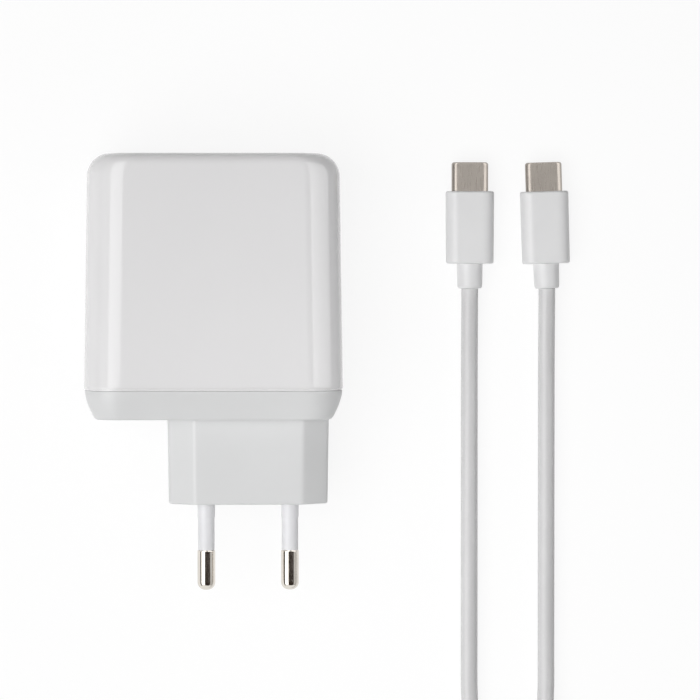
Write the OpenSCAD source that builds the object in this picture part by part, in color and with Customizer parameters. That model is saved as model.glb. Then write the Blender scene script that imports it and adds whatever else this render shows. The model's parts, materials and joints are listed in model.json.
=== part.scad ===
// Laptop power adapter: a wall-plug USB-C charger lying on its back, with its loose USB-C cable.
// +Z is up through the adapter's thickness, +Y points away from the pins, +X is across its width.
// The origin is under the middle of the adapter, on the surface it lies on. Millimetres.

/* [Housing] */
// Width of the housing at the seam
body_w = 57.2; // [54:0.2:64]
// Thickness of the housing
body_t = 28; // [27:0.5:32]
// Length of the upper shell, from the seam to the port end
shell_len = 52; // [50.5:0.5:60]
// How far each side draws in towards the port end
draft = 0.7; // [0.2:0.1:0.9]
// Radius of the four long edges
corner_r = 8; // [7:0.5:9]
// Radius of the port end's front and back edges
end_r = 2.4; // [2:0.1:4]
// Radius of the port end's corners, as seen from the front
end_corner_r = 5.2; // [4:0.1:6]
// Wall of both shells
wall = 2; // [1.6:0.1:2.2]
// Open groove between the two shells
seam_gap = 0.3; // [0.2:0.05:0.5]
// Height of the base cap, with the groove
cap_h = 6.7; // [5.5:0.1:8]
// How far the cap's sides draw in towards its floor
cap_taper = 2.3; // [1.5:0.1:3]
// Thickness of the cap's floor
cap_floor = 2; // [1.5:0.1:2.5]
// Height of the lip that the cap pushes up into the shell
lip_h = 3; // [2:0.5:4]
// Thickness of that lip
lip_t = 1.2; // [0.8:0.1:1.4]
// Gap between pieces that push together
fit_gap = 0.05; // [0.03:0.01:0.1]

/* [Plug block] */
// Width of the plug block
block_w = 35.8; // [35.4:0.1:37]
// Thickness of the plug block
block_t = 13.7; // [12.5:0.1:14]
// Height of the plug block below the cap
block_h = 19; // [16:0.5:22]
// Width of the flat on the block's front and back
block_flat = 24.4; // [22:0.2:28]
// Width of the blunt end of the block's sides
block_blunt = 3; // [2:0.5:5]
// Radius of the block's edges
block_edge_r = 0.9; // [0.5:0.1:1.2]
// Offset of the block from the middle of the housing
block_offset = 7.7; // [6:0.1:8.5]
// Wall of the block
block_wall = 2; // [1.5:0.1:2.5]
// Thickness of the block's end wall, which holds the pins
block_end = 3; // [2.5:0.1:4]

/* [Pins] */
// Distance between the pins
pin_spacing = 18.6; // [18:0.1:19.2]
// Diameter of a pin's bare end
pin_d = 4; // [3.9:0.02:4.06]
// Length of a pin's bare end
pin_bare = 8.8; // [8:0.1:10]
// Radius around the pin's tip
pin_tip_r = 1.3; // [0.8:0.1:1.8]
// Outside diameter of the insulating sleeve
sleeve_d = 3.68; // [3.6:0.02:3.84]
// Outside diameter of the sleeve's thicker root, at the block
sleeve_root_d = 3.9; // [3.86:0.02:4]
// Length of that root outside the block
sleeve_root = 3.1; // [2:0.1:5]
// Length of the sleeve outside the block
sleeve_len = 10.5; // [10:0.1:11]
// Diameter of the pin inside its sleeve
pin_neck_d = 3; // [2.6:0.1:3.2]
// Diameter of the collar that keeps the pin in the block
pin_collar_d = 5.4; // [5:0.1:6]
// Thickness of that collar
pin_collar_t = 1.5; // [1:0.1:2]
// Length of the pin's tail behind the collar
pin_tail = 5; // [4:0.5:7]
// Width of the strip that carries current from the pin's tail
strip_w = 2.4; // [2:0.1:3]
// Thickness of that strip
strip_t = 0.5; // [0.4:0.1:0.8]

/* [Heat path] */
// Thickness of the insulating films
film_t = 0.3; // [0.2:0.05:0.4]
// Thickness of the heat spreader plates
spreader_t = 0.5; // [0.4:0.1:0.8]
// Thickness of the thermal pad behind the board
pad_t = 1.2; // [1:0.1:1.5]

/* [Boards] */
// Thickness of the main board
board_t = 1.2; // [1:0.1:1.6]
// Room between the board's far end and the shell's end wall
port_room = 6.4; // [6:0.1:7]
// Height of the board's near end above the seam
board_start = 0.8; // [0.4:0.1:1.2]
// How far the board stands inside the shell's side walls
board_side_gap = 1.6; // [1.4:0.1:2]
// Thickness of the chips
chip_t = 1; // [0.7:0.1:1.2]
// Thickness of the port board
port_board_t = 1; // [0.8:0.1:1.2]
// Width of the port board
port_board_w = 22; // [18:1:26]
// Height of the port board above the main board
port_board_h = 14.6; // [12.5:0.1:17]
// Diameter of the component leads
lead_d = 0.7; // [0.5:0.1:0.9]
// Diameter of the holes that the leads go through
lead_hole_d = 1; // [1:0.1:1.2]

/* [Components] */
// Width of the transformer's core
core_w = 20; // [19:0.5:20.5]
// Depth of the transformer's core
core_d = 14; // [12:0.5:15]
// Thickness of the thermal pad in front of the transformer
front_pad_t = 1.5; // [1:0.1:2.5]
// Thickness of the core's plates and outer legs
core_leg = 2.5; // [2:0.1:2.8]
// Diameter of the core's middle post
core_post_d = 7.2; // [6:0.2:7.4]
// Diameter of the bulk capacitors
bulk_d = 9.8; // [9:0.2:10.6]
// Length of the bulk capacitors
bulk_len = 22; // [18:0.5:23]
// Diameter of the common-mode choke's ring
choke_d = 12.4; // [11:0.2:13]
// Thickness of the choke's ring
choke_t = 4; // [3:0.2:4.4]
// Length of the interference capacitor
xcap_w = 13; // [11:0.5:13]
// Thickness of the interference capacitor
xcap_t = 5.5; // [4:0.5:6]
// Height of the interference capacitor
xcap_h = 11; // [9:0.5:13]
// Diameter of the output capacitors
out_cap_d = 6.3; // [5:0.1:6.5]
// Height of the output capacitors
out_cap_h = 9; // [7:0.5:12]

/* [Port] */
// Outside width of the USB-C receptacle
port_w = 8.94; // [8.9:0.02:9]
// Outside height of the receptacle
port_h = 3.26; // [3.2:0.02:3.3]
// Wall of the receptacle's shell
port_wall = 0.3; // [0.25:0.05:0.35]
// Depth of the receptacle's mouth behind the housing's end
port_recess = 0.5; // [0.3:0.1:0.8]
// Gap around the receptacle in the housing's end
port_gap = 0.2; // [0.1:0.05:0.3]
// Thickness of the receptacle's tongue
tongue_t = 0.7; // [0.6:0.05:0.8]

/* [Cable] */
// Diameter of the cable
cord_d = 3.8; // [3.6:0.1:4]
// Width of the plug's metal shell
plug_w = 8.25; // [8.2:0.01:8.3]
// Height of the plug's metal shell
plug_h = 2.4; // [2.35:0.01:2.45]
// Wall of the plug's metal shell
plug_wall = 0.3; // [0.25:0.05:0.35]
// Length of shell that stands out of the overmould
plug_out = 6.5; // [6.2:0.1:6.7]
// Length of shell held inside the overmould
plug_in = 3; // [2:0.5:4]
// Width of the overmould
mould_w = 10.9; // [10:0.1:12]
// Height of the overmould
mould_h = 6; // [5.6:0.1:7]
// Length of the overmould
mould_len = 16.3; // [15:0.1:20]
// Radius of the overmould's long edges
mould_r = 2.7; // [1:0.1:2.8]
// Diameter of the strain relief
boot_d = 5.8; // [5.4:0.1:6]
// Length of the strain relief
boot_len = 5.6; // [4:0.2:8]
// Thickness of the board inside the plug
paddle_t = 0.8; // [0.6:0.1:1]
// Length of the board inside the plug
paddle_len = 8; // [6:0.5:10]
// Angle that the second plug lies at
plug_b_turn = 1.8; // [0:0.1:2]

/* [Coil] */
// Turns in each layer of the coil
layer_turns = 3.875; // [2.875:1:4.875]
// Distance between turns side by side
coil_pitch = 4.5; // [4.4:0.1:5]
// Distance between the two layers
coil_layer = 4.4; // [4.3:0.1:4.8]
// Thickness of the tie's strap
tie_t = 0.4; // [0.3:0.1:0.6]
// Width of the tie's strap
tie_w = 9; // [6:0.5:12]
// Gap between the coil and the tie
tie_gap = 0.15; // [0.1:0.05:0.3]

/* [Hidden] */
$fn = 48;
hull_fn = 32;
sliver = 0.02;                          // thickness of the slices that a hull spans

// Places along Y, from the middle of the adapter's whole length
adapter_len = shell_len + cap_h + block_h + sleeve_len + pin_bare;
top_y = adapter_len / 2;
seam_y = top_y - shell_len;
cap_y = seam_y - cap_h;                 // outer face of the cap's floor
block_y = cap_y - block_h;              // outer face of the block
bare_y = block_y - sleeve_len;          // where the bare metal starts
tip_y = bare_y - pin_bare;
mid_z = body_t / 2;

// Places along Z, stacked up from the back wall
film_z = wall;
spreader_z = film_z + film_t;
pad_z = spreader_z + spreader_t;
chip_z = pad_z + pad_t;
board_z = chip_z + chip_t;
deck_z = board_z + board_t;             // top face of the main board
front_film_z = body_t - wall - film_t;
front_spreader_z = front_film_z - spreader_t;

// The main board and what stands on it
board_w = body_w - 2 * (wall + draft + board_side_gap);
board_y1 = top_y - wall - port_room;
board_y0 = seam_y + board_start;
board_len = board_y1 - board_y0;
rail_t = 1.2;
rail_grip = 0.8;                        // how far a rail reaches over the board's edge
rail_end_gap = 3;                       // room between a rail and the cap's lip or the board's end
rail_y0 = seam_y + lip_h + rail_end_gap;
rail_len = board_y1 - rail_end_gap - rail_y0;
port_board_edge = 0.8;                  // the board's strip beyond the port board
port_board_y = board_y1 - port_board_edge - port_board_t;
port_y = port_board_y + port_board_t;   // back of the receptacle
port_mouth_y = top_y - port_recess;
part_gap = 0.4;                         // least room between parts on the board
bobbin_base = 1.5;
bobbin_flange = 0.8;
bobbin_wall = 0.75;
core_z0 = deck_z + bobbin_base + fit_gap;
core_z1 = front_spreader_z - front_pad_t;
flange_overhang = 1.2;                  // how far the bobbin stands out of the core, front and back
flange_x = core_w / 2 - core_leg - fit_gap;
flange_y = core_d / 2 + flange_overhang;
winding_z0 = core_z0 + core_leg + 2 * fit_gap + bobbin_flange;
winding_z1 = core_z1 - core_leg - 2 * fit_gap - bobbin_flange;

// From the port board back towards the pins: output capacitors, then the transformer
out_cap_y = port_board_y - chip_t - part_gap - out_cap_d / 2;
core_y = out_cap_y - out_cap_d / 2 - part_gap - flange_y;
core_side_gap = 2.4;                    // room between the core and the board's edge
core_x = -board_w / 2 + core_side_gap + core_w / 2;
safety_d = 7.5;
safety_t = 3.2;
safety_x = core_x - core_w / 2 + safety_d / 2;
safety_y = core_y + flange_y + part_gap + safety_t / 2;
out_cap_x0 = safety_x + safety_d / 2 + part_gap + out_cap_d / 2;
out_cap_x1 = out_cap_x0 + out_cap_d + part_gap;

// From the pins' end: the mains parts in one row, then the bulk capacitors
mains_row_y = board_y0 + 6.5;
xcap_side_gap = 2;
xcap_x = -board_w / 2 + xcap_side_gap + xcap_w / 2;
choke_winding = 1.2;
choke_base = 0.6;
choke_side_gap = 1.3;
choke_x = xcap_x + xcap_w / 2 + choke_side_gap + choke_winding + choke_d / 2;
choke_z = deck_z + choke_base + choke_winding + choke_d / 2;
bridge_w = 10;
bridge_t = 3;
bridge_h = 8;
bridge_side_gap = 2.5;
bridge_x = board_w / 2 - bridge_side_gap - bridge_w / 2;
fuse_d = 3.6;
fuse_len = 10;
fuse_y = mains_row_y - 2.1;
bridge_y = fuse_y + fuse_d / 2 + bridge_t / 2 + part_gap;
bulk_side_gap = 1;
bulk_bend = 2;                          // from the can's end to its legs
bulk_x1 = board_w / 2 - bulk_side_gap - bulk_d / 2;
bulk_x0 = bulk_x1 - bulk_d - part_gap;
bulk_y = bridge_y + bridge_t / 2 + bulk_bend + 3 * part_gap;
bulk_lead_gap = 5;

// Leads of the parts on the main board: [x, y] of every hole
function pair(x, y, gap) = [[x - gap / 2, y], [x + gap / 2, y]];
bobbin_pins = [for (s = [-1, 1], i = [-1.5, -0.5, 0.5, 1.5]) [core_x + i * 4.4, core_y + s * (flange_y - 0.6)]];
bulk_pins = [for (x = [bulk_x0, bulk_x1]) each pair(x, bulk_y - bulk_bend, bulk_lead_gap)];
xcap_pins = pair(xcap_x, mains_row_y, xcap_w - 3);
choke_pins = [for (y = [-2, 2]) each pair(choke_x, mains_row_y + y, 8)];
bridge_pins = [for (i = [-1.5, -0.5, 0.5, 1.5]) [bridge_x + i * 2.5, bridge_y]];
fuse_pins = pair(bridge_x, fuse_y, fuse_len - 2);
safety_pins = pair(safety_x, safety_y, 5);
out_cap_pins = [for (x = [out_cap_x0, out_cap_x1]) each pair(x, out_cap_y, 2.5)];
all_pins = concat(bobbin_pins, bulk_pins, xcap_pins, choke_pins, bridge_pins, fuse_pins,
                  safety_pins, out_cap_pins);

// Pins and strips
pin_xs = [block_offset - pin_spacing / 2, block_offset + pin_spacing / 2];
collar_y = block_y + block_end + fit_gap;
tail_y = collar_y + pin_collar_t + pin_tail;
strip_y1 = board_y0 + 1.4;

// Cable: the plugs lie side by side beyond the housing, and the coil lies below the pins
cord_z = cord_d / 2;
plug_z = mould_h / 2;
plug_tip_y = 46.7;
mould_y = plug_tip_y - plug_out - mould_len;
boot_y = mould_y - boot_len;
plug_a_x = 57.8;
plug_b_x = 75.2;
coil_x = 66.5;
coil_y = -122.8;
coil_in_r = 15.2;
coil_out_r = coil_in_r + layer_turns * coil_pitch;
coil_z0 = tie_t + tie_gap + cord_z;
coil_z1 = coil_z0 + coil_layer;
coil_fn = 24;
coil_steps = 2 * layer_turns * coil_fn;
coil_start = 135;                       // angle at which the lower layer starts

// Route of each lead between its plug and the coil
LEAD_A = [[57.8, 15, 2.9], [57.8, 8, 2.4], [57.8, 0, 1.9], [57.8, -10, 1.9], [57.8, -20, 1.9],
          [57.8, -30, 1.9], [57.8, -40, 1.9], [57.8, -50, 1.9], [57.8, -60, 1.9], [57.8, -70, 1.9],
          [57.8, -78, 1.9], [56.1, -85.6, 1.9], [51.6, -92.1, 2.1]];
LEAD_B = [[75.2, 15, 2.9], [75.2, 8, 2.4], [75.2, 0, 1.9], [75.2, -10, 1.9], [75.2, -20, 1.9],
          [75.2, -30, 1.9], [75.2, -40, 1.9], [75.2, -50, 1.9], [75.2, -60, 1.9], [75.2, -70, 2.2],
          [75.2, -78, 3.1], [76.9, -85.6, 4.5], [81.4, -92.1, 5.9]];

// ---- Shared shapes ----

module rounded_rect(w, h, r) {
    square([w - 2 * r, h], center = true);
    square([w, h - 2 * r], center = true);
    for (x = [-1, 1], y = [-1, 1])
        translate([x * (w / 2 - r), y * (h / 2 - r)]) circle(r);
}

// A stadium: a flat shape with full round ends
module stadium(w, h) {
    square([w - h, h], center = true);
    for (x = [-1, 1]) translate([x * (w - h) / 2, 0]) circle(h / 2);
}

// Stands a flat XY shape up across the adapter and extrudes it along +Y
module along_y(y, len) {
    translate([0, y + len, mid_z]) rotate([90, 0, 0]) linear_extrude(len) children();
}

// One leg of a component, down through the main board
module lead_pin(xy, top_z) {
    foot_z = board_z - 0.6;
    translate([xy[0], xy[1], foot_z]) cylinder(d = lead_d, h = top_z - foot_z);
}

// Sweeps a ring of flat faces along a list of points, as one closed tube.
// first_way and last_way are the directions that its two ends face along.
function unit(v) = v / norm(v);
function ring_at(p, way, r, sides) =
    let (side = unit(cross(way, [0, 0, 1])), up = cross(side, way))
    [for (k = [0 : sides - 1])
        let (a = 360 * (k + 0.5) / sides) p + r * (cos(a) * side + sin(a) * up)];
module tube(p, r, sides, first_way, last_way) {
    n = len(p);
    ways = [for (i = [0 : n - 1])
        i == 0 ? first_way : i == n - 1 ? last_way : unit(p[i + 1] - p[i - 1])];
    points = [for (i = [0 : n - 1]) each ring_at(p[i], ways[i], r, sides)];
    walls = [for (i = [0 : n - 2], k = [0 : sides - 1])
        let (a = i * sides + k, b = i * sides + (k + 1) % sides)
        each [[a, b, b + sides], [a, b + sides, a + sides]]];
    first_end = [for (k = [1 : sides - 2]) [0, k + 1, k]];
    last_end = [for (k = [1 : sides - 2]) [(n - 1) * sides, (n - 1) * sides + k, (n - 1) * sides + k + 1]];
    polyhedron(points, concat(walls, first_end, last_end));
}

// ---- Housing ----

// Full outer form of the upper shell, made smaller all round by inset.
// Its sides turn in by a large radius at the port end, and its front and back by a small one.
module shell_form(inset) {
    side = end_corner_r - inset;
    edge = max(end_r - inset, 0.5);
    hull() {
        along_y(seam_y, sliver)
            rounded_rect(body_w - 2 * inset, body_t - 2 * inset, corner_r - inset, $fn = hull_fn);
        for (a = [0, 20, 36, 50, 62, 72, 81, 90])
            let (rise = side * sin(a),
                 dx = draft + inset + side * (1 - cos(a)),
                 up = max(rise - side + edge, 0),
                 dz = inset + edge - sqrt(edge * edge - up * up))
            along_y(top_y - inset - side + rise - sliver, sliver)
                rounded_rect(body_w - 2 * dx, body_t - 2 * dz, corner_r - dz, $fn = hull_fn);
    }
}

module board_rails() {
    rail_w = rail_grip + board_side_gap + draft + wall / 2;
    for (s = [-1, 1], z = [board_z - fit_gap - rail_t, deck_z + fit_gap])
        translate([s * (board_w / 2 - rail_grip + rail_w / 2), rail_y0 + rail_len / 2, z + rail_t / 2])
            cube([rail_w, rail_len, rail_t], center = true);
}

module upper_shell() color("whitesmoke") {
    difference() {
        shell_form(0);
        difference() {
            union() {
                shell_form(wall);
                along_y(seam_y - 1, 1.1) rounded_rect(body_w - 2 * wall, body_t - 2 * wall, corner_r - wall);
            }
            board_rails();
        }
        along_y(top_y - wall - 1, wall + 2) stadium(port_w + 2 * port_gap, port_h + 2 * port_gap);
    }
}

// How far the cap's side has drawn in at a share s of the way down
function cap_inset(s) = 0.15 + cap_taper * pow(s, 1.6);

module cap_form(inset, y_top, y_bottom) {
    hull() for (s = [0 : 0.2 : 1])
        let (d = cap_inset(s) + inset, y = y_top + (y_bottom - y_top) * s)
        along_y(y - (s == 1 ? 0 : sliver), sliver)
            rounded_rect(body_w - 2 * d, body_t - 2 * d, corner_r - d, $fn = hull_fn);
}

// The block's six-sided outline, as the places of its corner rounds
function block_corners(inset) =
    let (w = block_w / 2 - inset - block_edge_r, t = block_t / 2 - inset - block_edge_r,
         f = block_flat / 2 - inset * 0.4 - block_edge_r * 0.4, b = block_blunt / 2)
    [[w, b], [f, t], [-f, t], [-w, b], [-w, -b], [-f, -t], [f, -t], [w, -b]];

module block_form(inset, y_top, y_bottom) {
    hull() for (c = block_corners(inset))
        translate([block_offset + c[0], 0, mid_z + c[1]]) {
            translate([0, y_top, 0]) rotate([90, 0, 0])
                cylinder(r = block_edge_r, h = y_top - y_bottom - block_edge_r, $fn = 16);
            translate([0, y_bottom + block_edge_r, 0]) sphere(r = block_edge_r, $fn = 16);
        }
}

module base_cap() color("gainsboro") {
    lip_gap = 3 * fit_gap;
    difference() {
        union() {
            cap_form(0, seam_y - seam_gap, cap_y);
            block_form(0, cap_y + cap_floor / 2, block_y);
            along_y(seam_y - cap_h / 2, cap_h / 2 + lip_h)
                rounded_rect(body_w - 2 * (wall + lip_gap + draft * lip_h / shell_len),
                             body_t - 2 * (wall + lip_gap), corner_r - wall);
        }
        along_y(seam_y - cap_h / 2 - 1, cap_h / 2 + lip_h + 2)
            rounded_rect(body_w - 2 * (wall + lip_gap + lip_t + draft * lip_h / shell_len),
                         body_t - 2 * (wall + lip_gap + lip_t), corner_r - wall - lip_t);
        cap_form(wall + lip_t, seam_y - seam_gap, cap_y + cap_floor);
        block_form(block_wall, cap_y + cap_floor + 1, block_y + block_end);
        for (x = pin_xs)
            translate([x, block_y - 1, mid_z]) rotate([-90, 0, 0])
                cylinder(d = sleeve_root_d + 2 * fit_gap, h = block_end + 2);
    }
}

// ---- Mains pins ----

// Half outline of a pin, from its tip at the origin up along +Y
function pin_outline() =
    let (r = pin_d / 2, e = pin_tip_r, y1 = pin_bare, y2 = collar_y - tip_y,
         y3 = y2 + pin_collar_t, y4 = y3 + pin_tail, n = pin_neck_d / 2)
    concat([[0, 0]], [for (a = [-90 : 15 : 0]) [r - e + e * cos(a), e + e * sin(a)]],
           [[r, y1], [n, y1], [n, y2], [pin_collar_d / 2, y2], [pin_collar_d / 2, y3],
            [n * 0.8, y3], [n * 0.8, y4], [0, y4]]);

module pin_at(x) color("silver")
    translate([x, tip_y, mid_z]) rotate([-90, 0, 0]) rotate_extrude() polygon(pin_outline());

module sleeve_at(x) color("whitesmoke")
    translate([x, bare_y, mid_z]) rotate([-90, 0, 0]) difference() {
        union() {
            translate([0, 0, fit_gap]) cylinder(d = sleeve_d, h = sleeve_len + block_end - fit_gap);
            translate([0, 0, sleeve_len - sleeve_root])
                cylinder(d = sleeve_root_d, h = sleeve_root + block_end);
        }
        translate([0, 0, -1]) cylinder(d = pin_neck_d + 2 * fit_gap, h = sleeve_len + block_end + 2);
    }

// A brass strip from the top of the pin's tail to the main board, where it stands in a slot
module strip_at(x) color("goldenrod") {
    strip_z = mid_z + pin_neck_d * 0.4 + fit_gap;
    strip_y0 = tail_y - pin_tail + 0.8;
    foot_z = board_z - 0.4;
    translate([x - strip_w / 2, strip_y0, strip_z]) cube([strip_w, strip_y1 - strip_y0, strip_t]);
    translate([x - strip_w / 2, strip_y1 - strip_t, foot_z]) cube([strip_w, strip_t, strip_z + strip_t - foot_z]);
}

// ---- Heat path ----

// The films lie on the flat of the front and back walls, and the plates on the films
film_edge = 0.2;
spread_edge = 1;
film_w = body_w - 2 * (corner_r + draft + film_edge);
spread_w = film_w - 2 * spread_edge;
spread_y0 = seam_y + lip_h + spread_edge + 1;
spread_len = board_y1 - spread_edge - spread_y0;

module plate(w, y, len, z, t) translate([-w / 2, y, z]) cube([w, len, t]);

module insulating_films() color("ivory") {
    for (z = [film_z, front_film_z])
        plate(film_w, spread_y0 - spread_edge, spread_len + 2 * spread_edge, z, film_t);
}

module heat_spreader_back() color("silver") plate(spread_w, spread_y0, spread_len, spreader_z, spreader_t);

module heat_spreader_front() color("silver") plate(spread_w, spread_y0, spread_len, front_spreader_z, spreader_t);

module thermal_pad_back() color("slategray") plate(spread_w - 4, spread_y0 + 1, spread_len - 2, pad_z, pad_t);

module thermal_pad_front() color("slategray")
    translate([core_x - core_w / 2, core_y - core_d / 2, core_z1])
        cube([core_w, core_d, front_spreader_z - core_z1]);

// ---- Main board ----

module main_board() color("darkgreen")
    difference() {
        plate(board_w, board_y0, board_len, board_z, board_t);
        for (p = all_pins)
            translate([p[0], p[1], board_z - 1]) cylinder(d = lead_hole_d, h = board_t + 2, $fn = 24);
        for (x = pin_xs)
            translate([x - strip_w / 2 - 0.2, strip_y1 - strip_t - 0.2, board_z - 1])
                cube([strip_w + 0.4, strip_t + 0.4, board_t + 2]);
        // Notches that clear the cap's lip
        for (s = [-1, 1])
            translate([s * board_w / 2, (board_y0 + seam_y + lip_h) / 2, board_z + board_t / 2])
                cube([3, seam_y + lip_h - board_y0 + 0.6, board_t + 2], center = true);
    }

// A flat chip with its row of legs drawn in as part of its footprint
module chip(x, y, w, d) color("dimgray")
    translate([x - w / 2, y - d / 2, chip_z]) cube([w, d, chip_t]);

module power_switch() chip(core_x - 4.5, core_y - 1, 8, 8);
module sync_rectifier() chip(core_x + 4, core_y + 3, 6, 5);
module controller_chip() chip(bulk_x0 - 1, core_y - 6, 5, 4);

module transformer_core() color("dimgray")
    translate([core_x, core_y, 0]) {
        for (z = [core_z0, core_z1 - core_leg])
            translate([-core_w / 2, -core_d / 2, z]) cube([core_w, core_d, core_leg]);
        for (s = [-1, 1])
            translate([s * (core_w - core_leg) / 2, 0, (core_z0 + core_z1) / 2])
                cube([core_leg, core_d, core_z1 - core_z0], center = true);
        translate([0, 0, core_z0 + core_leg / 2])
            cylinder(d = core_post_d, h = core_z1 - core_z0 - core_leg);
    }

module transformer_bobbin() color("black") {
    z_low = core_z0 + core_leg + fit_gap;
    z_high = core_z1 - core_leg - fit_gap;
    translate([core_x, core_y, 0]) {
        translate([-core_w / 2, -flange_y, deck_z]) cube([core_w, 2 * flange_y, bobbin_base]);
        for (s = [-1, 1])
            translate([-4, s > 0 ? core_d / 2 + fit_gap : -flange_y, deck_z])
                cube([8, flange_y - core_d / 2 - fit_gap, z_low - deck_z + bobbin_flange]);
        difference() {
            union() {
                for (z = [z_low, z_high - bobbin_flange])
                    translate([-flange_x, -flange_y, z]) cube([2 * flange_x, 2 * flange_y, bobbin_flange]);
                translate([0, 0, z_low])
                    cylinder(d = core_post_d + 2 * (fit_gap + bobbin_wall), h = z_high - z_low);
            }
            translate([0, 0, z_low - 1]) cylinder(d = core_post_d + 2 * fit_gap, h = z_high - z_low + 2);
        }
    }
    for (p = bobbin_pins) lead_pin(p, deck_z + 0.5);
}

module transformer_winding() color("gold")
    translate([core_x, core_y, winding_z0]) difference() {
        cylinder(r = flange_x - 0.2, h = winding_z1 - winding_z0);
        translate([0, 0, -1])
            cylinder(d = core_post_d + 2 * (2 * fit_gap + bobbin_wall), h = winding_z1 - winding_z0 + 2);
    }

// ---- Parts on the main board ----

module bulk_capacitors() color("midnightblue") {
    can_z = deck_z + fit_gap + bulk_d / 2;
    for (x = [bulk_x0, bulk_x1]) {
        translate([x, bulk_y, can_z]) rotate([-90, 0, 0]) {
            cylinder(d = bulk_d, h = bulk_len - 2.6);
            translate([0, 0, bulk_len - 2.6]) cylinder(d = bulk_d - 0.8, h = 0.8);
            translate([0, 0, bulk_len - 1.8]) cylinder(d = bulk_d, h = 1.8);
        }
        for (p = pair(x, bulk_y - bulk_bend, bulk_lead_gap)) {
            lead_pin(p, can_z);
            translate([p[0], p[1], can_z]) sphere(d = lead_d, $fn = 24);
            translate([p[0], p[1], can_z]) rotate([-90, 0, 0])
                cylinder(d = lead_d, h = bulk_bend + fit_gap);
        }
    }
}

// The ring stands on edge, with its axis along Y
module choke_ring(extra, depth) {
    rotate([90, 0, 0]) difference() {
        cylinder(d = choke_d + 2 * extra, h = depth, center = true);
        cylinder(d = choke_d * 0.5 - 2 * extra, h = depth + 2, center = true);
    }
}

module common_mode_choke() color("darkgreen")
    translate([choke_x, mains_row_y, choke_z]) choke_ring(0, choke_t);

// Two windings, each over one side of the ring, down to their legs
module choke_windings() color("chocolate") {
    translate([choke_x, mains_row_y, choke_z])
        difference() {
            choke_ring(choke_winding, choke_t + 2 * choke_winding);
            choke_ring(fit_gap, choke_t + 2 * fit_gap);
            cube([2.6, 2 * choke_d, 2 * choke_d], center = true);
        }
    for (s = [-1, 1])
        translate([choke_x + s * 4 - 1.2, mains_row_y - 2.6, deck_z])
            cube([2.4, 5.2, choke_base + 1.4]);
    for (p = choke_pins) lead_pin(p, deck_z + 0.5);
}

module interference_capacitor() color("khaki") {
    translate([xcap_x - xcap_w / 2, mains_row_y - xcap_t / 2, deck_z]) cube([xcap_w, xcap_t, xcap_h]);
    for (p = xcap_pins) lead_pin(p, deck_z + 0.5);
}

module bridge_rectifier() color("dimgray") {
    translate([bridge_x - bridge_w / 2, bridge_y - bridge_t / 2, deck_z + 1])
        cube([bridge_w, bridge_t, bridge_h]);
    for (p = bridge_pins) {
        lead_pin(p, deck_z + 1.5);
        translate([p[0], p[1], deck_z]) cylinder(d = lead_d + 0.6, h = 1.2);
    }
}

module input_fuse() color("tan") {
    can_z = deck_z + fit_gap + fuse_d / 2;
    translate([bridge_x - fuse_len / 2, fuse_y, can_z]) rotate([0, 90, 0]) cylinder(d = fuse_d, h = fuse_len);
    for (p = fuse_pins) lead_pin(p, can_z);
}

module safety_capacitor() color("royalblue") {
    disc_z = deck_z + 0.8 + safety_d / 2;
    translate([safety_x, safety_y, disc_z]) rotate([90, 0, 0])
        cylinder(d = safety_d, h = safety_t, center = true);
    for (p = safety_pins) {
        lead_pin(p, disc_z - 1);
        translate([p[0], p[1], deck_z]) cylinder(d = lead_d + 0.6, h = 1.4);
    }
}

module output_capacitors() color("silver")
    for (x = [out_cap_x0, out_cap_x1]) {
        translate([x, out_cap_y, deck_z]) {
            translate([0, 0, 0.6]) cylinder(d = out_cap_d, h = out_cap_h - 0.6);
            cylinder(d = out_cap_d - 1, h = 0.8);
        }
        for (p = pair(x, out_cap_y, 2.5)) lead_pin(p, deck_z + 0.5);
    }

// ---- Port ----

module port_board() color("darkgreen")
    translate([-port_board_w / 2, port_board_y, deck_z]) cube([port_board_w, port_board_t, port_board_h]);

module port_chip() color("dimgray")
    translate([-2, port_board_y - chip_t, mid_z - 2]) cube([4, chip_t, 4]);

module receptacle_shell() color("silver")
    difference() {
        along_y(port_y, port_mouth_y - port_y) stadium(port_w, port_h);
        along_y(port_y - 1, port_mouth_y - port_y + 2)
            stadium(port_w - 2 * port_wall, port_h - 2 * port_wall);
    }

tongue_base = 2.4;
tongue_w = 6.6;

module receptacle_tongue() color("black") {
    along_y(port_y, tongue_base)
        stadium(port_w - 2 * (port_wall + fit_gap), port_h - 2 * (port_wall + fit_gap));
    along_y(port_y + tongue_base - 0.5, port_mouth_y - port_y - tongue_base - 0.3)
        square([tongue_w, tongue_t], center = true);
}

// Twelve flat contacts on each side of a slot or tongue, 0.5 mm apart
module contact_rows(y, len, z_half, t) {
    for (s = [-1, 1], i = [-5.5 : 5.5])
        translate([i * 0.5 - 0.13, y, mid_z + (s > 0 ? z_half : -z_half - t)]) cube([0.26, len, t]);
}

module receptacle_contacts() color("gold")
    contact_rows(port_y + tongue_base, port_mouth_y - port_y - tongue_base - 1.6, tongue_t / 2, 0.08);

// ---- Cable ends ----

// Puts a plug, drawn with its tip on y = 0 pointing along +Y, at its place on the table
module plug_at(x, turn) {
    translate([x, boot_y, 0]) rotate([0, 0, turn]) translate([0, plug_tip_y - boot_y, plug_z - mid_z])
        children();
}

module plug_shell() color("silver")
    difference() {
        along_y(-plug_out - plug_in, plug_out + plug_in) stadium(plug_w, plug_h);
        along_y(-plug_out - plug_in - 1, plug_out + plug_in + 2)
            stadium(plug_w - 2 * plug_wall, plug_h - 2 * plug_wall);
    }

slot_h = 0.9;
slot_w = 6.7;
slot_depth = 5.6;

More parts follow.
